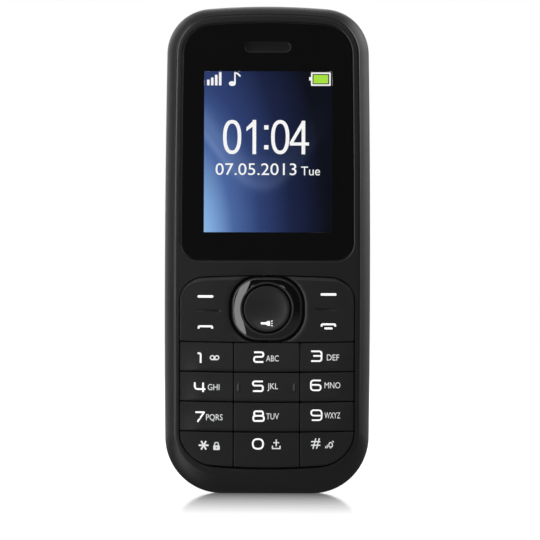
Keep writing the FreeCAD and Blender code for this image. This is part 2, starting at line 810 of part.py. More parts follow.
def draw_bottom_zone(sketch):
    inset = "end_zone_inset"
    draw_box(
        sketch,
        "-body_half_width + %s + zone_side_margin" % inset, "body_half_width - %s - zone_side_margin" % inset,
        inset, "bay_low - end_zone_wall",
        ("bottom_corner - %s" % inset,) * 2 + ("zone_corner",) * 2)


def draw_socket_windows(sketch):
    margin = "socket_window_margin"
    for side in ("-sim_side", "sim_side"):
        draw_centered(sketch, "sim_width + 2 * %s" % margin, "sim_height + 2 * %s" % margin, "",
                      side, "sim_center")
    draw_centered(sketch, "card_width + 2 * %s" % margin, "card_height + 2 * %s" % margin, "",
                  "0", "card_center")


def draw_connector_notch(sketch):
    draw_box(
        sketch,
        "-connector_width / 2 - connector_gap", "connector_width / 2 + connector_gap",
        "bay_low - connector_height - connector_gap", "bay_low + connector_gap")


def draw_speaker_hole(sketch):
    draw_centered(sketch, "grille_slot_width", "grille_pitch * grille_slots", "opening_corner",
                  "loudspeaker_side", "loudspeaker_center")


def face_forward(feature, side, level, height):
    """Turns an upright primitive forward and sets it at a side, level and height of the phone."""
    feature.Placement.Rotation = FreeCAD.Rotation(FreeCAD.Vector(1, 0, 0), 90)
    feature.setExpression("Placement.Base.x", bind(side))
    feature.setExpression("Placement.Base.y", bind("-(%s)" % level))
    feature.setExpression("Placement.Base.z", bind(height))


def add_cylinder(name, radius, length, side, level, height):
    """A cylinder that runs forward from its level."""
    cylinder = doc.addObject("Part::Cylinder", name)
    cylinder.setExpression("Radius", bind(radius))
    cylinder.setExpression("Height", bind(length))
    face_forward(cylinder, side, level, height)
    return cylinder


def gather(label, members):
    """One group of separate solids that are alike."""
    group = doc.addObject("Part::Compound", label)
    group.Label = label
    group.Links = members
    doc.recompute()
    return group


def make_housing_screws():
    """Four screws alike, from the chassis into the front housing's bosses."""
    screws = []
    for side, height in (("screw_side", "screw_low"), ("screw_top_side", "screw_top")):
        for way in (-1, 1):
            place = "%d * %s" % (way, side)
            head = add_cylinder("screw_head", "screw_head_radius", "screw_head_height",
                                place, "screw_seat_level - screw_head_height", height)
            shank_length = "board_level + screw_reach - screw_seat_level"
            shank = add_cylinder("screw_shank", "screw_radius", shank_length, place, "screw_seat_level", height)
            screw = doc.addObject("Part::Fuse", "screw")
            screw.Base = head
            screw.Tool = shank
            screws.append(screw)
    return gather("housing_screws", screws)


# Window and screen

def make_display_window():
    body = slab("display_window", lambda s: draw_window_outline(s, "window_gap"),
                "face_level - window_thickness", "window_thickness")
    cut(body, lambda s: draw_slot(s, "earpiece_width", "earpiece_height", "0", "earpiece_center"),
        "window_thickness")
    return body


def make_window_gasket():
    body = slab("window_gasket", lambda s: draw_window_outline(s, "window_gap"), "window_seat",
                "gasket_thickness")
    cut(body, draw_display_opening, "gasket_thickness")
    cut(body, draw_mesh_outline, "gasket_thickness")
    return body


def draw_mesh_outline(sketch, gap="mesh_gap"):
    draw_slot(sketch, "earpiece_width + 2 * (mesh_margin + %s)" % gap,
              "earpiece_height + 2 * (mesh_margin / 2 + %s)" % gap, "0", "earpiece_center")


def make_earpiece_mesh():
    """Thin woven mesh behind the slot."""
    return slab("earpiece_mesh", lambda s: draw_mesh_outline(s, "0"), "window_seat", "mesh_thickness")


def make_earpiece_speaker():
    body = block("earpiece_speaker", "speaker_width", "speaker_height",
                 "roof_level - speaker_back_gap - speaker_thickness", "speaker_thickness",
                 center="earpiece_center", radius="speaker_corner")
    cut(body, lambda s: draw_slot(s, "speaker_slot_width", "speaker_slot_height"), "speaker_thickness",
        "speaker_slot_depth")
    return body


def draw_frame_opening(sketch, gap):
    draw_box(sketch, "-lcd_width / 2 - %s" % gap, "lcd_width / 2 + %s" % gap,
             "lcd_low - %s" % gap, "lcd_high + %s" % gap)


def make_lcd_gasket():
    width = "screen_width + screen_margin + 2 * foam_width"
    height = "screen_height + screen_margin + 2 * foam_width"
    body = slab("lcd_gasket", lambda s: draw_centered(s, width, height, "foam_width", "0", "screen_center"),
                "lcd_front", "foam_thickness")
    cut(body, draw_display_opening, "foam_thickness")
    return body


def make_lcd_panel():
    return slab("lcd_panel", lambda s: draw_frame_opening(s, "0"), "lcd_front - lcd_thickness",
                "lcd_thickness")


def make_backlight_frame():
    """Tray round the panel, standing on the board."""
    body = slab("backlight_frame", lambda s: draw_frame_opening(s, "frame_wall"), "board_level",
                "lcd_front - board_level")
    cut(body, lambda s: draw_frame_opening(s, "lcd_gap"), "lcd_front - board_level", "lcd_thickness")
    return body


def make_display_flex():
    """Thin strip from the tray's lower edge, down to the board."""
    body = new_body("display_flex", side="-flex_width / 2")
    sketch = new_sketch(body, "YZ_Plane")
    low = "lcd_low - frame_wall"
    draw_polygon(sketch, [
        ("-board_level", "%s - flex_tail" % low),
        ("-board_level", low),
        ("-board_level - lcd_thickness", low),
        ("-board_level - lcd_thickness", "%s - flex_thickness" % low),
        ("-board_level - flex_thickness", "%s - flex_thickness" % low),
        ("-board_level - flex_thickness", "%s - flex_tail" % low),
    ])
    pad(body, sketch, "flex_width")
    return body


# Keypad

# Each key's name, column (-1, 0, 1) and row (0 is the row under the ring)
KEYS = [
    ("key_1", -1, 0), ("key_2", 0, 0), ("key_3", 1, 0),
    ("key_4", -1, 1), ("key_5", 0, 1), ("key_6", 1, 1),
    ("key_7", -1, 2), ("key_8", 0, 2), ("key_9", 1, 2),
    ("key_star", -1, 3), ("key_0", 0, 3), ("key_hash", 1, 3),
]


def column_edges(column):
    """Left and right edge of a key in its column, with half the gap off each side."""
    if column == 0:
        return "-key_column + key_gap / 2", "key_column - key_gap / 2"
    if column < 0:
        return "-keypad_half_width + key_gap", "-key_column - key_gap / 2"
    return "key_column + key_gap / 2", "keypad_half_width - key_gap"


def row_edges(row):
    """Low and high edge of a key in its row."""
    high = "keys_high - row_pitch * %d - key_gap / 2" % row
    if row == 3:
        return "keypad_low + key_gap", high
    return "keys_high - row_pitch * %d + key_gap / 2" % (row + 1), high


def key_center(column, row):
    """Where a key's stem and dome stand."""
    side = "0" if column == 0 else "%d * (key_column + keypad_half_width) / 2" % column
    if row == 3:
        return side, "keypad_low + last_row_height / 2"
    return side, "keys_high - row_pitch * (%d + 0.5)" % row


def make_key(label, column, row):
    """One number key: a cap whose face rises towards its lower edge, and a stem under it."""
    left, right = column_edges(column)
    low, high = row_edges(row)
    thick = "key_thick_last" if row == 3 else "key_thick"
    body = new_body(label, level="key_base_level")
    side = new_sketch(body, "YZ_Plane", left)
    draw_polygon(side, [("0", low), ("0", high), ("-key_thin", high), ("-(%s)" % thick, low)])
    cap = pad(body, side, "(%s) - (%s)" % (right, left))
    if column:
        outer, reach = (left, "key_flat_end") if column < 0 else (right, "-key_flat_end")
        ramp = new_sketch(body, "XY_Plane", high)
        draw_polygon(ramp, [
            ("(%s) + (%s)" % (outer, reach), "-(%s)" % thick),
            (outer, "-(%s)" % thick),
            (outer, "-key_thin"),
        ])
        cap = pocket(body, ramp, "(%s) - (%s)" % (high, low))
    if column and row == 3:
        corner = [name for name, edge in named_edges(cap) if is_lower_outer(edge, value(low), column)]
        round_edges(body, cap, corner, "keypad_bottom_corner - key_gap")
    x, z = key_center(column, row)
    stem = new_sketch(body, "XZ_Plane", "stem_end - key_base_level")
    draw_circle(stem, "stem_radius", x, z)
    pad(body, stem, "key_base_level - stem_end")
    return body


def named_edges(feature):
    return [("Edge%d" % index, edge) for index, edge in enumerate(feature.Shape.Edges, 1)]


def is_lower_outer(edge, low, column):
    """True for the edge that runs front to back at a corner key's low outer corner."""
    box = edge.BoundBox
    upright = max(box.XLength, box.ZLength) < TOLERANCE
    outer = value("keypad_half_width - key_gap")
    return upright and max(abs(box.ZMin - low), abs(box.XMin - column * outer)) < TOLERANCE


def make_function_key(label, column):
    """A wide rocking panel beside the ring, with a soft key above and a call key below."""
    body = new_body(label, level="key_base_level")
    low, high = "keys_high + key_gap / 2", "keypad_high - key_gap"
    outer, tip = "keypad_half_width - key_gap", "function_tip"
    corner = "keypad_top_corner - key_gap"
    face = new_sketch(body, "XZ_Plane")
    if column < 0:
        draw_box(face, "-(%s)" % outer, "-(%s)" % tip, low, high, ("", "", "", corner))
    else:
        draw_box(face, tip, outer, low, high, ("", "", corner, ""))
    pad(body, face, "function_key_thick")
    cut(body, lambda s: draw_ring_outline(s, "ring_gap"), "function_key_thick")
    for way in (1, -1):
        stem = new_sketch(body, "XZ_Plane", "stem_end - key_base_level")
        draw_circle(stem, "stem_radius", "%d * function_stem_side" % column,
                    "ring_center + %d * function_stem_height" % way)
        pad(body, stem, "key_base_level - stem_end")
    return body


def draw_ring_outline(sketch, margin="0"):
    draw_centered(
        sketch, "2 * (ring_half_width + %s)" % margin, "2 * (ring_half_height + %s)" % margin,
        "ring_corner + %s" % margin, "0", "ring_center")


def ring_stems():
    """The four places round the ring where it presses its domes."""
    reach = "ring_stem_reach"
    return [("0", reach), ("0", "-" + reach), (reach, "0"), ("-" + reach, "0")]


def make_nav_ring():
    body = slab("nav_ring", draw_ring_outline, "ring_base", "ring_thick")
    cut(body, lambda s: draw_circle(s, "ring_bore", "0", "ring_center"), "ring_thick")
    for x, z in ring_stems():
        stem = new_sketch(body, "XZ_Plane", "stem_end - ring_base")
        draw_circle(stem, "ring_stem_radius", x, "ring_center + (%s)" % z)
        pad(body, stem, "ring_base - stem_end")
    return body


def make_nav_ring_carrier():
    """Gimbal plate under the ring."""
    body = slab("nav_ring_carrier", lambda s: draw_circle(s, "carrier_radius", "0", "ring_center"),
                "ring_base - carrier_drop - carrier_thickness", "carrier_thickness")
    cut(body, lambda s: draw_circle(s, "carrier_bore", "0", "ring_center"), "carrier_thickness")
    return body


def make_nav_center_key():
    base = "body_depth / 2 - ring_lift - center_key_thick"
    body = slab("nav_center_key", lambda s: draw_circle(s, "center_key_radius", "0", "ring_center"),
                base, "center_key_thick")
    stem = new_sketch(body, "XZ_Plane", "stem_end - (%s)" % base)
    draw_circle(stem, "stem_radius", "0", "ring_center")
    pad(body, stem, "%s - stem_end" % base)
    return body


def dome_places():
    """Centre of each dome, as pairs of expressions, with its radius."""
    places = [key_center(column, row) + ("dome_radius",) for name, column, row in KEYS]
    for way in (1, -1):
        for column in (-1, 1):
            places.append(("%d * function_stem_side" % column,
                           "ring_center + %d * function_stem_height" % way, "dome_radius"))
    for x, z in ring_stems():
        places.append((x, "ring_center + (%s)" % z, "dome_radius / 2"))
    places.append(("0", "ring_center", "dome_radius"))
    return places


def make_snap_domes():
    """Snap domes on the board, each a low cone with a flat top, in one group."""
    domes = []
    for x, z, radius in dome_places():
        dome = doc.addObject("Part::Cone", "dome")
        dome.setExpression("Radius1", bind(radius))
        dome.setExpression("Radius2", bind("%s - dome_slope" % radius))
        dome.setExpression("Height", bind("dome_height"))
        face_forward(dome, x, "board_level", z)
        domes.append(dome)
    return gather("snap_domes", domes)


def make_dome_sheet():
    """Film that holds the domes, pierced at each dome."""
    body = slab("dome_sheet", draw_layer, "board_level", "sheet_thickness")
    for x, z, radius in dome_places():
        cut(body, lambda s: draw_circle(s, "%s + sheet_margin / 2" % radius, x, z), "sheet_thickness")
    return body


def draw_layer(sketch):
    draw_keypad_outline(sketch, "mat_inset")


def make_keypad_mat():
    """Silicone mat between the caps and the board, with a hole round each dome and stem."""
    body = slab("keypad_mat", draw_layer, "mat_level", "mat_thickness")
    for x, z, radius in dome_places():
        cut(body, lambda s: draw_circle(s, "%s + mat_hole_margin / 2" % radius, x, z), "mat_thickness")
    return body


# Board and what it carries

def make_main_board():
    body = slab("main_board", lambda s: draw_body_outline(s, "board_inset"), "board_back", "board_thickness")
    cut(body, lambda s: draw_screw_circles(s, "screw_radius + screw_clearance"), "board_thickness")
    return body


def behind_board(label, width, height, depth, side, center, radius=""):
    """A block on the rear of the board."""
    return block(label, width, height, "board_back - (%s)" % depth, depth, side, center, radius)


def make_shield_can(label, word):
    """Thin metal lid, open towards the board."""
    width, height = word + "_width", word + "_height"
    body = behind_board(label, width, height, "can_depth", word + "_side", word + "_center", "part_corner")
    inner = "part_corner - can_wall"
    cut(body, lambda s: draw_centered(s, width + " - 2 * can_wall", height + " - 2 * can_wall", inner),
        "can_depth", "can_depth - can_wall")
    return body


def make_chip(label, word):
    """The chip that a shield can covers."""
    return behind_board(label, word + "_width - 2 * chip_margin", word + "_height - 2 * chip_margin",
                        "chip_thickness", word + "_side", word + "_center")


def make_headphone_jack():
    """Block with a round nose in the chassis wall and a plug bore along Z."""
    top = "chassis_top - screw_clearance - top_drop"
    body = new_body("headphone_jack", side="jack_side", level="edge_center")
    base = new_sketch(body, "XY_Plane", "%s - jack_length - jack_foot" % top)
    draw_centered(base, "jack_width", "jack_depth", "part_corner")
    pad(body, base, "jack_length + jack_foot - jack_nose_length")
    nose = new_sketch(body, "XY_Plane", "%s - jack_nose_length" % top)
    draw_circle(nose, "jack_nose_radius")
    pad(body, nose, "jack_nose_length")
    bore = new_sketch(body, "XY_Plane", top)
    draw_circle(bore, "jack_bore")
    pocket(body, bore, "jack_length")
    return body


def make_micro_usb_socket():
    """Metal shell with its mouth at the lower edge and a tongue inside."""
    body = new_body("micro_usb_socket", level="board_back - usb_depth / 2", height="usb_low")
    shell = new_sketch(body, "XY_Plane")
    draw_centered(shell, "usb_width", "usb_depth", "part_corner")
    pad(body, shell, "usb_length")
    mouth = new_sketch(body, "XY_Plane")
    draw_centered(mouth, "usb_width - 2 * usb_wall", "usb_depth - 2 * usb_wall", "part_corner - usb_wall")
    pocket(body, mouth, "usb_length - 2 * usb_wall", onward=True)
    tongue = new_sketch(body, "XY_Plane", "2 * usb_wall")
    draw_centered(tongue, "usb_tongue_width", "usb_tongue_depth")
    pad(body, tongue, "usb_length - 3 * usb_wall")
    return body


def make_torch_lens():
    body = new_body("torch_lens", side="torch_side", level="edge_center",
                    height="chassis_top - screw_clearance - top_drop - torch_lens_thickness")
    sketch = new_sketch(body, "XY_Plane")
    draw_circle(sketch, "torch_radius")
    pad(body, sketch, "torch_lens_thickness")
    return body


def make_torch_led():
    """Lamp just under the lens, on the rear of the board."""
    lens_low = "chassis_top - screw_clearance - top_drop - torch_lens_thickness"
    return behind_board("torch_led", "torch_led_size", "torch_led_height", "torch_led_depth", "torch_side",
                        "%s - torch_led_height / 2 - torch_led_gap" % lens_low)


def make_vibration_motor():
    """Small round motor with its shaft pointing up."""
    body = new_body("vibration_motor", side="motor_side", level="motor_level", height="motor_low")
    can = new_sketch(body, "XY_Plane")
    draw_circle(can, "motor_radius")
    pad(body, can, "motor_length")
    shaft = new_sketch(body, "XY_Plane", "motor_length")
    draw_circle(shaft, "motor_shaft_radius")
    pad(body, shaft, "motor_shaft_length")
    return body


def make_vibration_weight():
    """Half round weight on the motor's shaft."""
    body = new_body("vibration_weight", side="motor_side", level="motor_level",
                    height="motor_low + motor_length + weight_gap")
    disc = new_sketch(body, "XY_Plane")
    draw_circle(disc, "motor_radius - weight_bore_gap")
    pad(body, disc, "weight_length")
    flat = new_sketch(body, "XY_Plane", "weight_length")
    draw_box(flat, "-2 * motor_radius", "2 * motor_radius", "2 * motor_shaft_radius", "2 * motor_radius")
    pocket(body, flat, "weight_length")
    bore = new_sketch(body, "XY_Plane", "weight_length")
    draw_circle(bore, "motor_shaft_radius + weight_bore_gap")
    pocket(body, bore, "weight_length")
    return body


def make_loudspeaker_mesh():
    return block("loudspeaker_mesh", "grille_slot_width + 2 * grille_mesh_margin",
                 "grille_pitch * grille_slots + 2 * grille_mesh_margin", "speaker_seat", "mesh_thickness",
                 "loudspeaker_side", "loudspeaker_center", "part_corner")


def make_loudspeaker():
    body = block("loudspeaker", "loudspeaker_width", "loudspeaker_height",
                 "speaker_seat + mesh_thickness", "loudspeaker_depth",
                 "loudspeaker_side", "loudspeaker_center", "loudspeaker_corner")
    rear = new_sketch(body, "XZ_Plane", "cone_depth")
    draw_centered(rear, "grille_slot_width", "grille_pitch * grille_slots", "loudspeaker_corner")
    pocket(body, rear, "cone_depth")
    return body


def make_microphone():
    return behind_board("microphone", "mic_width", "mic_height", "mic_depth", "mic_side", "mic_center",
                        "part_corner")


def make_microphone_boot():
    """Rubber boot round the microphone, with its sound hole towards the lower edge."""
    body = behind_board("microphone_boot", "mic_width + 2 * boot_wall", "mic_height + 2 * boot_wall",
                        "mic_depth + boot_wall", "mic_side", "mic_center", "part_corner + boot_wall")
    cut(body, lambda s: draw_centered(s, "mic_width", "mic_height", "part_corner"), "mic_depth + boot_wall",
        "mic_depth")
    sound = new_sketch(body, "XY_Plane", "-mic_height / 2 - boot_wall")
    draw_circle(sound, "mic_hole_radius", "0", "-(mic_depth / 2 + boot_wall)")
    pocket(body, sound, "boot_wall", onward=True)
    return body


# Battery side

def make_battery_connector():
    return behind_board("battery_connector", "connector_width", "connector_height", "connector_depth", "0",
                        "bay_low - connector_height / 2")


def make_battery_contacts():
    """Three contact leaves alike, between the connector and the battery's end."""
    leaves = []
    front = "board_back - connector_depth + connector_gap + contact_depth"
    for way in (-1, 0, 1):
        leaf = doc.addObject("Part::Box", "contact")
        leaf.setExpression("Length", bind("contact_width"))
        leaf.setExpression("Width", bind("contact_depth"))
        leaf.setExpression("Height", bind("battery_gap - contact_clearance"))
        leaf.setExpression("Placement.Base.x", bind("%d * contact_pitch - contact_width / 2" % way))
        leaf.setExpression("Placement.Base.y", bind("-(%s)" % front))
        leaf.setExpression("Placement.Base.z", bind("bay_low"))
        leaves.append(leaf)
    return gather("battery_contacts", leaves)


def make_battery():
    base = "cover_floor + battery_cover_gap"
    return block("battery", "2 * (bay_half_width - battery_gap)", "bay_height - 2 * battery_gap", base,
                 "bay_web_back - battery_front_gap - (%s)" % base, "0", "bay_low + bay_height / 2",
                 "battery_corner")


def make_card_socket(label, width, height, side, center):
    """Flat metal socket on the board, reached through a window in the bay, with a slot at its low edge."""
    body = behind_board(label, width, height, "socket_depth", side, center)
    slot = new_sketch(body, "XY_Plane", "-(%s) / 2" % height)
    draw_centered(slot, "%s - 2 * slot_margin" % width, "slot_thickness", "", "0", "-socket_depth / 2")
    pocket(body, slot, "%s - slot_margin" % height, onward=True)
    return body


def make_antenna_carrier():
    return block("antenna_carrier", "antenna_width", "antenna_height", "speaker_seat", "antenna_depth", "0",
                 "antenna_center", "loudspeaker_corner")


def make_antenna():
    """Foil on the carrier, cut to a comb."""
    body = block("antenna", "antenna_width - 2 * slot_margin", "antenna_height - 2 * slot_margin",
                 "speaker_seat + antenna_depth", "antenna_foil", "0", "antenna_center")
    for way in (-1, 1):
        cut(body, lambda s: draw_box(
            s, "%d * antenna_width / 4 - slot_margin" % way, "%d * antenna_width / 4 + slot_margin" % way,
            "-antenna_height", "antenna_height / 2 - 2 * slot_margin"), "antenna_foil")
    return body


PIECES = [
    make_front_housing, make_battery_cover, make_rear_housing, make_housing_screws,
    make_display_window, make_window_gasket, make_earpiece_mesh, make_earpiece_speaker,
    make_lcd_gasket, make_lcd_panel, make_backlight_frame, make_display_flex,
    make_nav_ring, make_nav_ring_carrier, make_nav_center_key,
    make_snap_domes, make_dome_sheet, make_keypad_mat,
    make_main_board, make_headphone_jack, make_micro_usb_socket, make_torch_lens, make_torch_led,
    make_vibration_motor, make_vibration_weight, make_loudspeaker_mesh, make_loudspeaker,
    make_microphone, make_microphone_boot, make_battery_connector, make_battery_contacts, make_battery,
    make_antenna_carrier, make_antenna,
]


def main():
    fill_sheet()
    made = []
    for make in PIECES:
        made.append(make())
    for label, column, row in KEYS:
        made.append(make_key(label, column, row))
    made.append(make_function_key("function_key_left", -1))
    made.append(make_function_key("function_key_right", 1))
    for word in ("can_radio", "can_baseband"):
        made.append(make_shield_can("shield_" + word, word))
        made.append(make_chip(word.replace("can", "chip"), word))
    made.append(make_card_socket("sim_socket_left", "sim_width", "sim_height", "-sim_side", "sim_center"))
    made.append(make_card_socket("sim_socket_right", "sim_width", "sim_height", "sim_side", "sim_center"))
    made.append(make_card_socket("memory_card_socket", "card_width", "card_height", "0", "card_center"))
    doc.recompute()
    for part in doc.Objects:
        if "Invalid" in part.State or "Error" in part.State:
            raise RuntimeError("%s failed: %s" % (part.Name, part.State))
    os.makedirs("parts", exist_ok=True)
    for piece in made:
        if piece.Shape.isNull() or not piece.Shape.isValid():
            raise RuntimeError("%s has no valid shape" % piece.Label)
        piece.Shape.exportStep("parts/%s.step" % piece.Label)
        print(piece.Label, len(piece.Shape.Solids), round(piece.Shape.Volume, 2))


main()
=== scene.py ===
import functools
import math

import bmesh
import bpy
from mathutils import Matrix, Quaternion, Vector, geometry


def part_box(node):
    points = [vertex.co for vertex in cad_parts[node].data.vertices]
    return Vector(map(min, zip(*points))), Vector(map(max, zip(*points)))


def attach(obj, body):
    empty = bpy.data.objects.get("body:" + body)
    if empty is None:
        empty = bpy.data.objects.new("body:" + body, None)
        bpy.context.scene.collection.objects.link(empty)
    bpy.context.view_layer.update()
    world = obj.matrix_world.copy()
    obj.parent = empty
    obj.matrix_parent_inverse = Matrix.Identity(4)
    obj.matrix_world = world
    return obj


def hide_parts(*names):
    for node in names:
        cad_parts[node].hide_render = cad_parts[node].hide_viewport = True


# A candybar phone standing upright on a pale floor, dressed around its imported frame.
# Shapes are worked out in millimetres: x across, z up, and a "level" is the distance forward (-Y).
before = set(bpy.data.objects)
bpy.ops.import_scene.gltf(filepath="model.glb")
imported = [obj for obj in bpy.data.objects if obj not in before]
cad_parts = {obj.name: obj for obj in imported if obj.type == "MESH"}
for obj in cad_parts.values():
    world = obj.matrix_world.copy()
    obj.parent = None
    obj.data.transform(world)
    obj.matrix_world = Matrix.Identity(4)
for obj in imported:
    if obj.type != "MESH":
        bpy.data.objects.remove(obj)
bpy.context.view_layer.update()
scene = bpy.context.scene

MM = 0.001
FULL_TURN = 2 * math.pi
QUARTER = math.pi / 2

# Outline arcs of the whole phone
SIDE_RADIUS = 2900.0
SIDE_CENTER = 45.9
TOP_RADIUS = 150.0
FACE_MARGINS = {"side": 1.95, "top": 1.5, "bottom": 4.1}
BODY_CORNERS = (9.8, 12.2)
FACE_CORNERS = (8.6, 9.6)
WINDOW_CORNERS = (6.4, 3.8)
WINDOW_SPREAD = 0.14
KEYPAD_CORNERS = (5.2, 7.6)
KEYPAD_GAP = 0.2
WALL = 1.3
ROOF_DROP = 1.6
# How many steps each arc of the outline has
OUTLINE_STEPS = {"base": 6, "foot": 24, "side": 24, "corner": 20, "top": 8}

# Screen
SCREEN_HALF_WIDTH = 13.87
SCREEN_SHIFT = 0.17
SCREEN_LOW = 56.45
SCREEN_HIGH = 91.23

# The whole front is slightly crowned from side to side.
CROWN_DROP = 0.32
CROWN_REACH = 20.0
CROWN_START = 4.4
CROWN_FULL = 5.2

# Print
INK_PROUD = 0.012
INK_DEPTH = 0.04


@functools.cache
def span(name):
    """A node's box at rest in millimetres: x, level and z ranges."""
    low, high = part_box(name)
    return (low.x / MM, high.x / MM), (-high.y / MM, -low.y / MM), (low.z / MM, high.z / MM)


def smooth_step(low, high, number):
    share = min(max((number - low) / (high - low), 0.0), 1.0)
    return share * share * (3 - 2 * share)


# Loops of points


def arc(center, radius, start, end, count):
    """Points on an arc, both ends included."""
    turns = [start + (end - start) * k / count for k in range(count + 1)]
    return [(center[0] + radius * math.cos(a), center[1] + radius * math.sin(a)) for a in turns]


def disc(center, radius, count):
    """A circle's points."""
    return arc(center, radius, 0, FULL_TURN, count)[:-1]


def line(start, end, step):
    """Points along a straight stretch, without its ends."""
    count = max(1, round(math.dist(start, end) / step))
    shares = [k / count for k in range(1, count)]
    return [(start[0] + (end[0] - start[0]) * s, start[1] + (end[1] - start[1]) * s) for s in shares]


def mirrored(half):
    """A closed loop from its right half, which runs from the bottom middle to the top middle."""
    return half + [(-x, z) for x, z in reversed(half[1:-1])]


def phone_loop(half_width, low, high, corners, inset=0.0):
    """The phone's kind of outline: arched top, slightly bowed sides and a flat bottom."""
    top_corner, foot = corners[0] - inset, corners[1] - inset
    side, top = SIDE_RADIUS - inset, TOP_RADIUS - inset
    side_x = half_width - SIDE_RADIUS
    top_z = high - TOP_RADIUS
    base = low + inset
    # The top corner's centre lies at known distances from the centres of the top and side arcs.
    reach_top, reach_side = top - top_corner, side - top_corner
    apart = math.dist((0, top_z), (side_x, SIDE_CENTER))
    along = (reach_top**2 - reach_side**2 + apart**2) / (2 * apart)
    across = math.sqrt(reach_top**2 - along**2)
    ux, uz = side_x / apart, (SIDE_CENTER - top_z) / apart
    corner = max(((ux * along - s * uz * across, top_z + uz * along + s * ux * across) for s in (-1, 1)))
    foot_z = base + foot
    foot_x = side_x + math.sqrt((side - foot) ** 2 - (foot_z - SIDE_CENTER) ** 2)
    low_turn = math.atan2(foot_z - SIDE_CENTER, foot_x - side_x)
    high_turn = math.atan2(corner[1] - SIDE_CENTER, corner[0] - side_x)
    top_turn = math.atan2(corner[1] - top_z, corner[0])
    counts = OUTLINE_STEPS
    half = [(0.0, base)] + line((0, base), (foot_x, base), foot_x / counts["base"])
    half += arc((foot_x, foot_z), foot, -QUARTER, low_turn, counts["foot"])
    half += arc((side_x, SIDE_CENTER), side, low_turn, high_turn, counts["side"])[1:-1]
    half += arc(corner, top_corner, high_turn, top_turn, counts["corner"])
    half += arc((0, top_z), top, top_turn, QUARTER, counts["top"])[1:]
    return mirrored(half)


def rounded_box(x_range, z_range, corners, step=0.6, turns=8):
    """A rounded rectangle; corners are its four radii from the lower right one, anticlockwise."""
    (left, right), (low, high) = x_range, z_range
    places = [(right, low, -1, 1), (right, high, -1, -1), (left, high, 1, -1), (left, low, 1, 1)]
    loop = []
    for k, (x, z, inward_x, inward_z) in enumerate(places):
        radius = corners[k]
        center = (x + inward_x * radius, z + inward_z * radius)
        bend = arc(center, radius, (k - 1) * QUARTER, k * QUARTER, turns)
        if loop:
            loop += line(loop[-1], bend[0], step)
        loop += bend
    return loop + line(loop[-1], loop[0], step)


def shifted(loop, distance):
    """The loop moved inward by a distance, or outward by a negative one; it runs anticlockwise."""
    moved = []
    for k, (x, z) in enumerate(loop):
        before, after = loop[k - 1], loop[(k + 1) % len(loop)]
        ax, az = x - before[0], z - before[1]
        bx, bz = after[0] - x, after[1] - z
        a, b = math.hypot(ax, az), math.hypot(bx, bz)
        nx, nz = -(az / a + bz / b), ax / a + bx / b
        size = math.hypot(nx, nz)
        # A sharp turn needs a longer step along the mean normal.
        stretch = min(2 / size, 1.6) / size
        moved.append((x + nx * distance * stretch, z + nz * distance * stretch))
    return moved


def inside(point, loop):
    x, z = point
    hit = False
    for k in range(len(loop)):
        (xa, za), (xb, zb) = loop[k - 1], loop[k]
        if (za > z) != (zb > z) and x < xa + (z - za) * (xb - xa) / (zb - za):
            hit = not hit
    return hit


def steps(low, high, pitch):
    count = max(1, round((high - low) / pitch))
    return [low + (high - low) * (k + 0.5) / count for k in range(count)]


def both_ways(*distances):
    """The distances to both sides of a middle, and the middle itself."""
    return [*(-d for d in reversed(distances)), 0, *distances]


# Meshes


def crowned(x, level, z, start):
    """A point in metres; the front's crown sets it back towards the sides."""
    share = smooth_step(start, CROWN_FULL, level)
    return x * MM, (CROWN_DROP * share * (x / CROWN_REACH) ** 2 - level) * MM, z * MM


